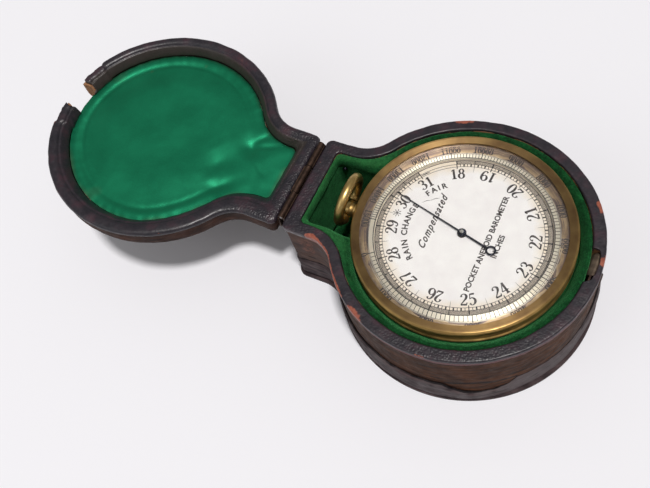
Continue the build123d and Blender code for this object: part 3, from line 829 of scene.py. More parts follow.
def lid_outside(mat):
    """Leather over the lid's back and walls, turned round its rolled edge."""
    outer = [(0.06, z) for z in np.linspace(-0.7, LID_LOW, 7)]
    for k in range(1, 10):
        a = math.pi / 2 * k / 9
        outer.append((0.06 + (LID_EDGE_R - 0.06) * (1 - math.cos(a)), LID_LOW - LID_EDGE_R * math.sin(a)))
    inner = [(3.5, -6.75), (2.4, -6.35), (1.4, -5.6), (0.78, LID_LOW), (0.76, -0.72)]
    out = jitter([ring(i, z) for i, z in outer], 3.0, 0.07, 3)
    out = peeled(jitter(out, 0.9, 0.03, 8))
    rows = [ring(i, z) for i, z in inner] + out
    points = np.concatenate(rows)
    faces = loft_faces(len(rows), COUNT)
    points = flat_cap(points, faces, 0, 2.2)
    points = flat_cap(points, faces, (len(rows) - 1) * COUNT, 1.3)
    back = points[:, 2] < -LID_H + 0.01
    points[back, 2] += 0.03 + value_noise(points[back], 7.0, 6) * 0.03
    made = piece("lid_outside_leather", points, faces, mat, "case_lid", "lid_leather")
    cut(made, prism_cutter(BITE, *LID_CUT))
    place = verts(made)
    wear = lid_wear(place, edge_distance(place[:, :2], OUTLINE))
    paint(made, wear=wear, dust=patches(place, 6.0, 41, 0.3, 0.9) * 0.5, seam=0 * wear)
    made.data.transform(LID_MATRIX)


def lid_ring(inset, z):
    """A ring inside the lid's wall. The leather has crept inwards along the front side, most at the neck."""
    points = wall_ring(inset, z, **LID_ROUND)
    share = unit(inset / LID_WALL) ** 1.5
    x, y = OUTLINE.T
    points[:, 0] += share * 0.9 * smooth_step(-x, 33, 38)
    points[:, 1] -= share * 1.2 * smooth_step(y, 0, 20)
    points[:, 1] -= share * 1.8 * smooth_step(-x, 4, 26) * smooth_step(y, 0, 7)
    return points


def lid_wood(mat):
    """Wooden shell of the lid, its rim rounded off towards the inside."""
    inner = [(3.62, -5.38), (3.62, -3.2), (3.5, -2.9), (3.1, -2.3), (2.5, -1.6), (1.9, -1.15), (1.2, -0.98)]
    outer = [(0.85, -1.0), (0.8, -1.2), (0.8, LID_LOW)]
    outer += [(0.8 + 2.6 * (1 - math.cos(a)), LID_LOW - 2.7 * math.sin(a)) for a in np.linspace(0.2, 1.57, 7)]
    rows = [lid_ring(i, z) for i, z in inner] + [ring(i, z) for i, z in outer]
    points = np.concatenate(jitter(rows, 1.2, 0.03, 19))
    faces = loft_faces(len(rows), COUNT)
    points = flat_cap(points, faces, 0, 3.0)
    points = flat_cap(points, faces, (len(rows) - 1) * COUNT, 3.0)
    made = piece("lid_wood_shell", points, faces, mat, "case_lid", "lid_carcass")
    low_y, high_y = BITE_MIDDLE - 3.6, BITE_MIDDLE + 3.6
    notch = [(25.4, low_y), (26.8, low_y - 0.2), (28.2, low_y + 0.3), (32, low_y), (32, high_y),
             (28.6, high_y - 0.3), (27.2, high_y + 0.2), (25.4, high_y)]
    cut(made, prism_cutter(notch, *LID_CUT))
    made.data.transform(LID_MATRIX)


# Silk pad: its edge is tucked behind the rim leather, with a rolled border inside it
PAD_INSET = 4.06
PAD_TOP = -3.2  # at the edge
PAD_LOW = -4.85
RIM_FOOT = PAD_TOP - 0.1  # the rim leather's lower edge, just under the silk's


def lid_rim(mat):
    """Leather turned over the lid's rounded rim and down the slope inside it."""
    top = [(-0.05, -1.1), (-0.08, -0.9)]
    top += [(0.9 * (1 - math.cos(a)) - 0.05, 0.9 * (math.sin(a) - 1)) for a in np.linspace(0.2, 1.57, 7)]
    top += [(1.3, 0.0), (1.7, -0.05), (2.1, -0.2), (2.35, -0.5), (2.5, -0.72), (2.7, -0.62)]
    top += [(2.9, -0.85), (3.15, -1.25), (3.4, -1.7), (3.65, -2.2), (3.85, -2.7), (3.96, RIM_FOOT)]
    back = [(3.6, RIM_FOOT), (3.3, -2.4), (2.6, -1.4), (1.9, -0.9), (0.8, -0.9), (0.77, -1.1)]
    front = [lid_ring(i, z) for i, z in top]
    front = peeled(jitter(jitter(front, 2.6, 0.08, 11, 0.06), 0.8, 0.035, 12, 0.025))
    rows = front + [lid_ring(i, z) for i, z in back]
    made = rings_piece("lid_rim_cover", rows, mat, "case_lid", "lid_rim_leather")
    cut(made, prism_cutter(BITE, *LID_CUT))
    place = verts(made)
    inset = edge_distance(place[:, :2], OUTLINE)
    x, y, _ = place.T
    bite = bell(np.hypot(x - 28.5, (y - BITE_MIDDLE) / 4.4), 1.2)
    slope = smooth_step(inset, 2.3, 3.0) * smooth_step(-y, -10, 8)
    paint(made, wear=unit(lid_wear(place, inset) + 0.4 * bite), slope=slope, hem=0 * x,
          grain=0.22 + 0.7 * smooth_step(-x, 24, 34))
    made.data.transform(LID_MATRIX)


SILK_FOLDS = [  # middle, way along it in degrees, half length, half width, depth
    ((-22.9, -5.0), 127, 3.0, 2.4, 1.10),
    ((-20.9, 7.4), 34, 3.4, 1.7, 0.55),
    ((-17.5, 1.9), 34, 4.5, 3.2, 0.75),
    ((-24.4, -8.6), 222, 2.4, 0.7, 0.28),
    ((-26.4, -7.0), 205, 3.0, 0.7, 0.30),
    ((-28.0, -0.2), 150, 3.0, 0.9, 0.25),
]
SILK_STAINS = ((22.5, -12.0, 4.5, 1), (8, 21, 3.0, 1), (14.5, -16.7, 1.0, 1.6), (1.1, -23.5, 0.9, 1.4))


def pad_height(points, gap):
    """Height of the silk over the lid's rim plane, from places (n, 2) and their distance to the edge."""
    flat = level(points)
    body = 1 - smooth_step(-points[:, 0], 14, 24)
    roll = 0.22 * body * bell(gap - 1.5, 0.9)
    groove = -0.23 * body * bell(gap - 3.2, 0.5)
    crown = 0.62 * smooth_step(gap, 3.0 * body, 11.0)
    # gathers run in from the edge
    along = angle_of(points) * 27.0 + 0.6 * value_noise(flat, 4.0, 52)
    gather = np.cos(along * 1.9 + 2.0 * value_noise(flat, 6.0, 51)) * np.exp(-gap / 1.8)
    fold = bell(gap - 2.6, 2.4) * value_noise(flat, 3.2, 54)
    height = PAD_TOP + roll + groove + crown + 0.05 * gather + 0.08 * fold
    height += 0.10 * value_noise(flat, 7.0, 55) * smooth_step(gap, 3, 8)
    height += 0.025 * value_noise(flat, 1.6, 56)
    # pulled silk beside the neck: pinches and the folds that run from them to the edge
    wander = points + 0.5 * np.column_stack([value_noise(flat, 3.0, 57), value_noise(flat, 3.0, 58)])
    for middle, way, half_length, half_width, depth in SILK_FOLDS:
        turn = math.radians(way)
        off = wander - np.array(middle)
        along = (off @ (math.cos(turn), math.sin(turn))) / half_length
        across = (off @ (-math.sin(turn), math.cos(turn))) / half_width
        height -= depth * bell(along, 1) * bell(across, 1) * smooth_step(gap, 0, 1.5)
    return height


def silk_pad(mat):
    """Silk stretched over wadding."""
    outline = lid_ring(PAD_INSET, 0)[:, :2]
    made = sheet("silk_lining_pad", outline, 0.62, pad_height, PAD_LOW, 3.0, mat, "case_lid",
                 "lid_silk_pad")
    for edge in made.data.edges:
        a, b = edge.vertices
        edge.use_edge_sharp = max(a, b) < COUNT and abs(a - b) in (1, COUNT - 1)
    place = verts(made)
    gap = edge_distance(place[:, :2], outline)
    stain = spots(place, SILK_STAINS)
    soil = 0.55 * np.exp(-gap / 0.7) * (0.5 + value_noise(place, 4, 61)) + 0.25 * stain
    # painted shade: a thin dark band along the silk's edge on the lid frame's -y side, where the rim meets it
    paint(made, soil=unit(soil), shade=0.9 * np.exp(-gap / 0.35) * smooth_step(-place[:, 1], 2, 12))
    made.data.transform(LID_MATRIX)
    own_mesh(made)


# --- The base ----------------------------------------------------------------------------------------
BASE_ROUND = {"wall": WALL, "end_wall": NECK_END_WALL}
LAP = 1.7  # how far the rim leather comes down outside
MORTISE = [(26.4, -2.3), (27.4, -2.4), (28.5, -1.6), (28.95, 0.2), (29.0, 2.6), (28.75, 4.6), (28.1, 5.7),
           (26.4, 5.8)]
RUBBED_SPOTS = ((-10, 28, 4.5, 1), (25.6, 15.8, 3.4, 1), (29.6, 3.4, 2.2, 1), (-31.0, -13.3, 2.6, 1.2),
                (-14, -26.5, 4, 1), (-37.6, 5.9, 1.8, 1.4))
BAND_LOW = 0.82
TEAR = math.radians(-62)  # where a leaf-shaped piece of the band has gone
TEAR_HALF = 0.27  # half its reach, in radians
VELVET_LOW = 3.65
ROLL = [(0.0, 22.8), (0.06, 23.35), (0.2, 23.55), (0.36, 23.45), (0.55, 23.05), (0.75, 22.45),
        (0.9, 21.95)]  # velvet between the rim and the lip of the well: way across, height
NECK_BULGES = (0.1, 0.35, 0.55, 0.62, 0.6, 0.5, 0.35, 0.2, 0.1)


def base_wear(place):
    """Where the base's leather is rubbed: rim edges near the neck, top and right, and chance spots."""
    x, y, z = place.T
    inset = edge_distance(place[:, :2], OUTLINE)
    edge = bell(z - CASE_H + 0.25, 0.6) * bell(inset, 0.5)
    outer = bell(np.clip(inset - 0.5, 0, None), 0.9) * (z > CASE_H - 1.6)
    width = 0.5 + 2.3 * smooth_step(-x, 20, 32)
    stripe = smooth_step(-x, 17, 20) * (1 - smooth_step(-x, 31, 34)) * (y < 0)
    stripe *= 1 - smooth_step(CASE_H - z, 0.6 * width, width)
    stripe *= bell(np.clip(inset - 0.15, 0, None), 0.3)
    worn = edge * (0.3 + 0.7 * patches(place, 5.5, 71, 0.2, 0.8))
    return unit(worn + outer * unit(spots(place, RUBBED_SPOTS)) * 0.95 + 0.8 * stripe)


def base_rim(mat):
    """Leather turned over the base's rim, with the catch's mortise cut in it."""
    turns = [math.pi / 2 * k / 6 for k in range(1, 6)]
    top = [(-0.05, -LAP), (-0.08, -LAP / 2), (-0.05, -0.5)]
    top += [(0.45 * (1 - math.cos(a)) - 0.04, 0.45 * (math.sin(a) - 1)) for a in turns]
    top += [(i, 0.0) for i in np.linspace(0.45, WALL - 0.4, 6)]
    top += [(WALL + 0.4 * (math.sin(a) - 1), 0.4 * (math.cos(a) - 1)) for a in turns]
    top += [(WALL, z) for z in np.linspace(-0.45, -1.6, 6)]
    back = [(WALL - 0.34, -1.6), (WALL - 0.36, -0.68), (0.8, -0.68), (0.77, -LAP)]
    front = [wall_ring(i, z, **BASE_ROUND) for i, z in top]
    front = jitter(jitter(front, 2.4, 0.09, 13, 0.05), 0.7, 0.035, 14, 0.025)
    rows = front + [wall_ring(i, z, **BASE_ROUND) for i, z in back]
    rows = [points + (0, 0, CASE_H) for points in rows]
    made = rings_piece("base_rim_cover", rows, mat, "case_base", "base_rim_leather")
    cut(made, prism_cutter(MORTISE, 15, CASE_H + 2))
    place = verts(made)
    x, _, z = place.T
    grain = 0.25 + 0.5 * smooth_step(-x, 24, 34) + 0.45 * bell(angle_of(place) + 1.3, 0.7)
    hem = smooth_step(CASE_H - z, 0.35, 1.1) * smooth_step(x, -28, -16)
    paint(made, wear=base_wear(place), grain=grain, hem=hem, slope=0 * x)


def torn_edge(place):
    """Height of the band's torn upper edge, lowest at the front."""
    flat = place * (1, 1, 0)
    dip = 4.6 * unit(1 - ((angle_of(flat) - TEAR) / TEAR_HALF) ** 2) ** 0.8
    edge = BAND_TOP - 0.6 - dip + 0.5 * value_noise(flat, 7.0, 91) + 0.3 * value_noise(flat, 1.9, 92)
    return np.clip(edge, 3, BAND_TOP)


def base_wall(mat):
    """Side leather of the base, cracked along the band's edge and dusty at the neck."""
    outer = [ring(0.08, z) for z in np.linspace(CASE_H - 1.2, 0.85, 44)]
    outer = jitter(jitter(outer, 4.0, 0.07, 16), 1.1, 0.035, 17)
    inner = [ring(0.78, z) for z in (0.85, 8.0, 16.0, CASE_H - 1.2)]
    made = rings_piece("base_wall_leather", outer + inner, mat, "case_base",
                       "base_side_leather")
    cut(made, rod_cutter(BUTTON_HOLE_R, 26, 33, CATCH_Y, BUTTON_Z))
    place = verts(made)
    flat = place * (1, 1, 0)
    x, y, z = place.T
    angle = angle_of(place)
    wear = base_wear(place) + 0.5 * (z > 14) * near(place, -34, -13, 5)
    upper = BAND_TOP + 0.1 + 0.5 * value_noise(flat, 4, 84)
    seam = bell(z - torn_edge(place) - 0.15, 0.22)
    seam += 1.5 * (np.abs(angle - TEAR) < TEAR_HALF) * bell(z - upper, 0.35)
    seam += 1.3 * smooth_step(angle, -1.0, -0.8) * smooth_step(-y, 0, 8) * bell(z - upper - 2.5, 0.3)
    crack = bell(z - 12.2 - 0.8 * value_noise(flat, 3.5, 81), 0.16)
    seam += crack * (value_noise(place, 7, 82) > 0.1)
    dust = 0.2 * unit(1 - z / 11) + 0.25 * patches(place, 6, 83, 0.2, 0.9) + 0.45 * smooth_step(-x, 22, 30)
    paint(made, wear=unit(wear), seam=unit(seam), dust=unit(dust))


def bottom_band(mat):
    """Bottom leather turned up round the wall, its upper edge torn and wavy."""
    edge = torn_edge(ring(0, 0))
    x, y = OUTLINE.T
    tucked = np.maximum(1 - ROUNDNESS, smooth_step(x, 12, 24) * smooth_step(-y, -4, 6))
    rows = []
    for share in np.linspace(0, 1, 18):
        out = 0.35 if share < 0.06 else 0.12 + max(share - 0.9, 0) * 4.5
        row = ring(out - BAND_T, BAND_LOW + share * (edge - BAND_LOW))
        row[:, :2] -= NORMAL * (0.5 * tucked)[:, None]
        rows.append(row)
    rows = jitter(jitter(rows, 3.0, 0.06, 93), 0.9, 0.03, 94)
    rows += [ring(0.02, edge - 0.02), ring(0.02, BAND_LOW)]
    made = rings_piece("base_hem_band", rows, mat, "case_base", "base_bottom_band")
    place = verts(made)
    x, _, z = place.T
    top = torn_edge(place)
    wear = 0.35 * bell(z - top, 0.3) * (value_noise(place, 2, 95) > 0.2)
    fold = bell(z - 0.62 * top - 0.5 * value_noise(place * (1, 1, 0), 4, 97), 0.2)
    fold *= value_noise(place, 5, 98) > -0.1
    seam = bell(z - top - 0.1, 0.2) + bell(z - 0.8, 0.4) + 0.8 * fold
    dust = 0.5 + value_noise(place, 2.2, 96) * 0.5 + value_noise(place, 0.9, 99) * 0.3 + 0.012 * x
    paint(made, wear=wear, seam=seam, dust=unit(dust))


def velvet_wall(mat):
    """Padded velvet round the barometer: rolled slope, ledge under the bezel, neck pocket."""
    rim = wall_ring(WALL + 0.04, 0, **BASE_ROUND)
    lip = well_ring(BEZEL_WELL_R, 0)
    rows = [rim + (0, 0, VELVET_LOW)]
    rows += [rim * (1 - share) + lip * share + (0, 0, z) for share, z in ROLL]
    rows += [well_ring(BEZEL_WELL_R, z) for z in (21.5, 21.0, 20.75)]
    rows += [well_ring(r, LEDGE_Z - 0.02) for r in (24.5, 23.6)]
    rows += [well_ring(DRUM_WELL_R, z) for z in np.linspace(20.2, VELVET_LOW, 14)]
    inward = rim[:, :2] - lip[:, :2]
    inward /= np.maximum(np.linalg.norm(inward, axis=1), 0.05)[:, None]
    for row, bulge in zip(rows[3:], NECK_BULGES):
        row[:, :2] -= inward * (bulge * (1 - ROUNDNESS))[:, None]
    rows[1:-1] = jitter(jitter(rows[1:-1], 2.4, 0.12, 101, 0.10), 0.8, 0.04, 102, 0.05)
    made = rings_piece("velvet_wall_lining", rows, mat, "case_base", "base_velvet_lining")
    place = verts(made)
    x, _, z = place.T
    ridge = smooth_step(z, 21.2, 23.2) * smooth_step(-x, 14, 26)
    paint(made, rub=unit(ridge + 0.35 * patches(place, 3.0, 103, 0.2, 0.8) * (z > 21)))


def floor_height(places, _):
    """Height of the velvet on the floor."""
    return FLOOR_Z + 0.09 * value_noise(level(places), 2.2, 111)


def velvet_floor(mat):
    """Velvet on the wooden floor."""
    outline = plan(WALL + 0.1, NECK_END_WALL + 0.1, POCKET_CORNER)
    made = sheet("velvet_floor_sheet", outline, 1.3, floor_height, 3.02, 4.0, mat, "case_base",
                 "base_velvet_floor")
    paint(made, rub=np.zeros(len(made.data.vertices)))


def catch_plate(mat):
    """Bent top of the brass catch plate in the mortise: it slopes down inwards."""
    section = [(28.95, 22.8), (28.3, 22.75), (27.4, 22.5), (26.98, 22.3), (26.98, 22.05), (27.5, 22.2),
               (28.3, 22.4), (28.95, 22.45)]
    rows = []
    for k in range(13):
        y = 0.1 + 5.3 * k / 12
        squeeze = 1 - 0.35 * abs(2 * k / 12 - 1) ** 6
        rows += [(28.0 + (x - 28.0) * squeeze, y, z + 0.012 * math.sin(1.7 * k)) for x, z in section]
    count = len(section)
    faces = loft_faces(13, count)
    faces += [tuple(range(count)), tuple(range(len(rows) - count, len(rows)))[::-1]]
    piece("catch_plate_bent", rows, faces, mat, "case_base", smooth=False)


# --- Engraving: flat marks a hair above the metal --------------------------------------------------
MARK_SUNK = 0.01  # how far a mark goes into the metal
DIAL_MARK_H = 0.025
RING_MARK_H = 0.02
LETTER_T = 0.05
LETTER_RISE = 0.01  # of a letter's middle over the dial
TENTHS_R = (17.62, 18.32)
FIFTIETHS_R = (18.35, 19.25)
SCALE_R = 19.3
INCH_R = 15.75  # to the middle of the inch numerals
FEET_LOW_R = 19.55
FEET_R = 21.68  # to the middle of the feet numerals


def polar(radius, angle):
    """A place in the plan, from the dial's centre."""
    return radius * np.array([math.cos(angle), math.sin(angle)])


class Ink:
    """Collects marks drawn in the plan as four-cornered patches, and makes one mesh of them."""

    def __init__(self):
        self.patches = []

    def patch(self, corners):
        """One four-cornered mark."""
        self.patches.append([tuple(c) for c in corners])

    def ribbon(self, stroke, closed=False):
        """A stroke through (x, y, width) points."""
        run = np.array(stroke, float)
        ahead = np.roll(run, -1, 0) if closed else np.vstack([run[1:], 2 * run[-1:] - run[-2:-1]])
        behind = np.roll(run, 1, 0) if closed else np.vstack([2 * run[:1] - run[1:2], run[:-1]])
        way = (ahead - behind)[:, :2]
        way /= np.maximum(np.linalg.norm(way, axis=1), 1e-9)[:, None]
        side = np.stack([-way[:, 1], way[:, 0]], 1) * run[:, 2:] / 2
        left, right = run[:, :2] + side, run[:, :2] - side
        for i in range(len(run) if closed else len(run) - 1):
            k = (i + 1) % len(run)
            self.patch([left[i], right[i], right[k], left[k]])

    def circle(self, radius, width, steps=240):
        """A circle round the dial's centre."""
        turns = np.linspace(0, 2 * math.pi, steps, endpoint=False)
        self.ribbon([(*polar(radius, a), width) for a in turns], True)

    def sweep(self, radius, start, stop, swell, steps):
        """A stroke round the dial's centre, thickest in its middle."""
        widths = 0.05 + swell * np.sin(np.linspace(0, math.pi, steps))
        turns = np.linspace(start, stop, steps)
        self.ribbon([(*polar(radius, a), width) for a, width in zip(turns, widths)])

    def ray(self, angle, inner, outer, width, tip=None):
        """A mark along a radius, tip wide at its inner end."""
        self.ribbon([(*polar(inner, angle), width if tip is None else tip), (*polar(outer, angle), width)])

    def dot(self, x, y, size):
        """A small diamond."""
        self.patch([(x - size, y), (x, y - size), (x + size, y), (x, y + size)])

    def build(self, name, mat, body, face, height):
        """One piece of all the marks, standing height over the metal's face."""
        count = len(self.patches)
        flat = np.array(self.patches).reshape(-1, 2)
        turn = np.array(self.patches)
        area = (turn[:, 1, 0] - turn[:, 0, 0]) * (turn[:, 2, 1] - turn[:, 0, 1])
        area -= (turn[:, 1, 1] - turn[:, 0, 1]) * (turn[:, 2, 0] - turn[:, 0, 0])
        points = np.concatenate([np.column_stack([flat, np.full(len(flat), z)])
                                 for z in (face - MARK_SUNK, face + height)])
        faces = []
        for i in range(count):
            a = list(range(4 * i, 4 * i + 4))
            if area[i] < 0:
                a.reverse()
            b = [k + 4 * count for k in a]
            faces += [tuple(a[::-1]), tuple(b)]
            faces += [(a[k], a[(k + 1) % 4], b[(k + 1) % 4], b[k]) for k in range(4)]
        return piece(name, points, faces, mat, body, smooth=False)


def curve(points, steps=5):
    """A smooth run through (x, y, width) points."""
    p = np.array(points, float)
    p = np.vstack([2 * p[0] - p[1], p, 2 * p[-1] - p[-2]])
    out = []
    for a, b, c, d in zip(p, p[1:], p[2:], p[3:]):
        for t in np.arange(steps) / steps:
            out.append(0.5 * (2 * b + (c - a) * t + (2 * a - 5 * b + 4 * c - d) * t * t
                              + (3 * b - a - 3 * c + d) * t ** 3))
    return out + [p[-2]]


def loop(cx, cy, rx, ry, thin, thick, steps=20):
    """An upright oval, thick at its sides."""
    turns = np.linspace(0, 2 * math.pi, steps + 1)
    return [(cx + rx * math.cos(a), cy + ry * math.sin(a), thin + (thick - thin) * math.cos(a) ** 2)
            for a in turns]


SIX = [
    curve([(0.19, 0.84, 0.15), (0.07, 0.98, 0.05), (-0.13, 0.86, 0.10), (-0.23, 0.5, 0.17),
           (-0.21, 0.2, 0.15), (-0.02, 0.01, 0.05), (0.2, 0.15, 0.13), (0.21, 0.4, 0.15),
           (0.04, 0.58, 0.05), (-0.18, 0.42, 0.05)])]
DIGITS = {
    "0": [loop(0, 0.5, 0.23, 0.48, 0.05, 0.17)],
    "1": [[(0.02, 0.02, 0.16), (0.02, 0.98, 0.16)], [(-0.17, 0.82, 0.05), (0.02, 0.96, 0.07)],
          [(-0.17, 0.02, 0.05), (0.21, 0.02, 0.05)]],
    "2": [curve([(-0.2, 0.72, 0.15), (-0.17, 0.9, 0.06), (0.02, 0.98, 0.05), (0.2, 0.84, 0.15),
                 (0.17, 0.62, 0.15), (0.0, 0.38, 0.08), (-0.24, 0.08, 0.05)]),
          [(-0.25, 0.06, 0.1), (0.2, 0.06, 0.12), (0.26, 0.24, 0.05)]],
    "3": [curve([(-0.19, 0.8, 0.14), (-0.08, 0.97, 0.05), (0.1, 0.94, 0.08), (0.19, 0.76, 0.15),
                 (0.1, 0.58, 0.08), (-0.05, 0.53, 0.05)]),
          curve([(-0.05, 0.53, 0.05), (0.14, 0.48, 0.1), (0.23, 0.27, 0.17), (0.1, 0.05, 0.07),
                 (-0.08, 0.01, 0.05), (-0.21, 0.16, 0.15)])],
    "4": [[(0.1, 1.0, 0.06), (-0.27, 0.29, 0.05)], [(-0.27, 0.29, 0.05), (0.29, 0.29, 0.05)],
          [(0.1, 0.02, 0.15), (0.1, 1.0, 0.15)], [(-0.06, 0.02, 0.05), (0.26, 0.02, 0.05)]],
    "5": [[(-0.15, 0.93, 0.1), (0.2, 0.95, 0.12)], [(-0.15, 0.95, 0.05), (-0.18, 0.52, 0.05)],
          curve([(-0.18, 0.54, 0.05), (0.0, 0.62, 0.06), (0.2, 0.46, 0.14), (0.21, 0.22, 0.16),
                 (0.06, 0.02, 0.06), (-0.1, 0.01, 0.05), (-0.21, 0.15, 0.15)])],
    "6": SIX,
    "7": [[(-0.22, 0.82, 0.05), (-0.2, 0.94, 0.1), (0.25, 0.94, 0.1)],
          [(0.24, 0.92, 0.05), (0.04, 0.45, 0.13), (-0.04, 0.02, 0.17)]],
    "8": [loop(0, 0.75, 0.17, 0.22, 0.05, 0.13), loop(0, 0.27, 0.22, 0.26, 0.05, 0.16)],
    "9": [[(-x, 1 - y, w) for x, y, w in SIX[0]]],
}


def number(ink, text, angle, radius, height, outward_tops, spread=0.66, bold=0.025):
    """Digits round the dial, centred at an angle; their tops point away from the centre or to it."""
    sign = -1 if outward_tops else 1
    for place, digit in enumerate(text):
        shift = (place - (len(text) - 1) / 2) * spread * height
        at = angle + sign * shift / radius
        up = polar(-sign, at)
        right = np.array([up[1], -up[0]])
        centre = polar(radius, at)
        for stroke in DIGITS[digit]:
            ink.ribbon([(*(centre + height * (x * right + (y - 0.5) * up)), (w * 1.05 + bold) * height)
                        for x, y, w in stroke])


def letter_mesh(text, size, slant=0.0, narrow=1.0, bold=0.03, apart=1.0):
    """Plain letters as a flat solid, centred on the origin, in millimetres."""
    data = bpy.data.curves.new("letters", "FONT")
    data.body = text
    data.size = size * MM
    data.align_x = "CENTER"
    data.extrude = LETTER_T / 2 * MM
    data.resolution_u = 3
    data.shear = slant
    data.space_character = apart
    data.offset = bold * size * MM
    obj = bpy.data.objects.new("letters", data)
    bpy.context.scene.collection.objects.link(obj)
    bpy.context.view_layer.update()
    mesh = bpy.data.meshes.new_from_object(obj.evaluated_get(bpy.context.evaluated_depsgraph_get()))
    bpy.data.objects.remove(obj)
    bpy.data.curves.remove(data)
    mesh.transform(Matrix.Diagonal((narrow, 1, 1, 1)))
    return mesh


def letters(name, placed, mat, z):
    """One piece from (mesh, x, y, turn) entries, riding on the barometer."""
    joined = bmesh.new()
    for mesh, x, y, turn in placed:
        move = Matrix.Translation((x * MM, y * MM, z * MM)) @ Matrix.Rotation(turn, 4, "Z")
        mesh.transform(move)
        joined.from_mesh(mesh)
        bpy.data.meshes.remove(mesh)
    whole = bpy.data.meshes.new(name)
    joined.to_mesh(whole)
    joined.free()
    add(name, whole, mat, "barometer")


def inch_angle(pressure):
    """Where a pressure in inches stands on the dial."""
    return math.radians(115.0 - 25.56 * (pressure - 18))


def dial_scale(mat):
    """Inches of mercury from 18 to 31, in tenths and fiftieths."""
    ink = Ink()
    for step in range(13 * 50 + 1):
        ink.ray(inch_angle(18 + step / 50), *FIFTIETHS_R, 0.10)
    for tenth in range(131):
        angle = inch_angle(18 + tenth / 10)
        if tenth % 10 == 0:
            ink.ray(angle, 17.1, SCALE_R, 0.22)
        elif tenth % 5 == 0:
            ink.ray(angle, 16.2, SCALE_R, 0.20, tip=0.03)
        else:
            ink.ray(angle, *TENTHS_R, 0.14 if tenth % 2 else 0.32)
    for radius, width in zip((*TENTHS_R, SCALE_R), (0.10, 0.11, 0.20)):
        ink.circle(radius, width)
    for inch in range(18, 32):
        number(ink, str(inch), inch_angle(inch), INCH_R, 2.65, inch > 25 or inch == 18)
    ink.sweep(18.0, inch_angle(31.9) + 0.4, inch_angle(31.3), 0.22, 14)
    centre = polar(15.6, inch_angle(29.55))
    for spin in range(4):
        way = polar(0.95, inch_angle(29.5) + spin * math.pi / 4)
        ink.ribbon([(*(centre - way), 0.16), (*centre, 0.09), (*(centre + way), 0.16)])
    ink.build("dial_scale", mat, "barometer", DIAL_TOP, DIAL_MARK_H)


def arc_word(text, centre_angle, radius, size, spread):
    """Letters on a circle with their tops outwards."""
    widths = [0.62 if c in "IJ" else 1.0 for c in text]
    total = sum(widths) * spread
    at = -total / 2
    placed = []
    for char, width in zip(text, widths):
        angle = centre_angle - (at + width * spread / 2) / radius
        at += width * spread
        placed.append((letter_mesh(char, size), *polar(radius, angle), angle - math.pi / 2))
    return placed


def dial_words(mat):
    """Weather words and the plain inscriptions."""
    placed = arc_word("RAIN", math.radians(219), 12.1, 1.9, 1.42)
    placed += arc_word("CHANGE", math.radians(182), 12.1, 1.9, 1.42)
    placed += arc_word("FAIR", math.radians(138), 12.5, 1.9, 1.5)
    up = math.pi / 2
    placed.append((letter_mesh("Compensated", 2.5, 0.6, 0.84, 0.022, 1.22), -6.4, 0.5, up))
    placed.append((letter_mesh("POCKET ANEROID BAROMETER", 1.72), 6.4, -0.2, up))
    placed.append((letter_mesh("INCHES", 1.72), 8.9, -0.3, up))
    letters("dial_words", placed, mat, DIAL_TOP + LETTER_RISE)
    ink = Ink()
    ink.ribbon(curve([(-11.3, 4.5, 0.04), (-10.5, 5.3, 0.13), (-9.7, 5.7, 0.07), (-8.8, 6.5, 0.13),
                      (-8.0, 6.9, 0.04)]))
    ink.build("dial_flourish", mat, "barometer", DIAL_TOP, DIAL_MARK_H)


def height_angle(feet):
    """Where a height in feet stands on the ring."""
    return math.radians(215.0 + 25.56 * 31.0 * (1 - 10 ** (-feet / 62759.0)))


def altitude_scale(mat):
    """Feet above the sea from 0 to 15000, on the ring that turns with the bezel."""
    ink = Ink()
    for step in range(151):
        outer, width = 20.65, 0.14
        if step % 10 == 0:
            outer, width = 21.0, 0.2
        elif step % 5 == 0:
            outer, width = 20.8, 0.17
        ink.ray(height_angle(100 * step), FEET_LOW_R, outer, width)
    ink.circle(19.62, 0.20)
    ink.circle(20.68, 0.06)
    ink.circle(22.9, 0.06)
    for feet in range(0, 16000, 1000):
        angle = height_angle(feet)
        outward_tops = math.cos(angle - math.radians(205)) < 0.1
        number(ink, str(feet), angle, FEET_R, 1.3, outward_tops, 0.70, 0.07)
    for k in range(130):
        ink.dot(*polar(22.62, height_angle(0) + k * 2 * math.pi / 140), 0.10)
    ink.sweep(20.9, math.radians(192), math.radians(213), 0.3, 12)
    ink.build("altitude_scale", mat, "bezel", RING_TOP, RING_MARK_H)


# --- Dressing the CAD nodes ----------------------------------------------------------------------------
# Nodes whose finish differs from their slot's
LOOK_OF = dict.fromkeys(("bow_ring", "pendant", "bow_pin"), "bow_gilding")
LOOK_OF["lining_tack"] = "blued_steel"


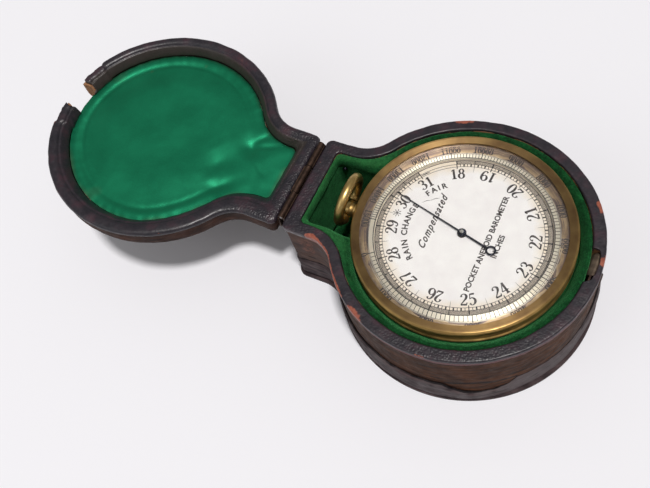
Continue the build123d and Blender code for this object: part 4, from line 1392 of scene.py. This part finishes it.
def dress(looks):
    """Gives each CAD node the finish of its slot in the record."""
    for part in frame["record"]["subparts"]:
        obj = frame["nodes"][part["node"]]
        if not obj.material_slots:
            obj.data.materials.append(None)
        for slot in obj.material_slots:
            slot.material = looks[LOOK_OF.get(part["node"], part["material_slot"])]


def make_looks():
    """The material of each slot in the record, and of the bow."""
    return {
        "case_wood": wood(),
        "rim_leather": rim_leather(),
        "side_leather": side_leather("side_leather", (0.020, 0.009, 0.006), (0.110, 0.042, 0.018)),
        "bottom_leather": side_leather("band_leather", (0.014, 0.010, 0.013), (0.115, 0.080, 0.082)),
        "velvet": velvet(),
        "silk": silk(),
        "pad_board": pasteboard(),
        "gilt_brass": turned_gilding(),
        "dull_brass": metal("dull_brass", (0.10, 0.062, 0.046), (0.030, 0.020, 0.017), (0.45, 0.7), 0.9),
        "worn_brass": metal("worn_brass", (0.25, 0.19, 0.14), (0.10, 0.075, 0.06), (0.4, 0.6), 1.2),
        "movement_brass": metal("movement_brass", (0.80, 0.58, 0.24), (0.62, 0.42, 0.16), (0.2, 0.35), 5.0),
        "bow_gilding": metal("bow_gilding", (0.74, 0.54, 0.22), (0.46, 0.29, 0.10), (0.30, 0.44), 2.6),
        "silvered_dial": silvered_dial(),
        "silvered_ring": silvered_ring(),
        "blued_steel": metal("blued_steel", (0.018, 0.024, 0.045), (0.03, 0.025, 0.03), (0.25, 0.4), 1.0),
        "steel": metal("steel", (0.45, 0.44, 0.42), (0.25, 0.22, 0.2), (0.25, 0.45), 1.5),
        "capsule_metal": metal("capsule_metal", (0.7, 0.68, 0.6), (0.55, 0.5, 0.42), (0.25, 0.4), 4.0),
        "crystal_glass": clear_glass(),
    }


# --- The whole scene -----------------------------------------------------------------------------------
camera()
stage()
looks = make_looks()
dress(looks)
wax = engraving_wax()
lid_outside(side_leather("lid_leather", (0.014, 0.008, 0.007), (0.085, 0.038, 0.026)))
lid_rim(looks["rim_leather"])
lid_wood(looks["case_wood"])
silk_pad(looks["silk"])
base_rim(looks["rim_leather"])
base_wall(looks["side_leather"])
bottom_band(looks["bottom_leather"])
velvet_wall(looks["velvet"])
velvet_floor(looks["velvet"])
catch_plate(looks["worn_brass"])
dial_scale(wax)
dial_words(wax)
altitude_scale(wax)
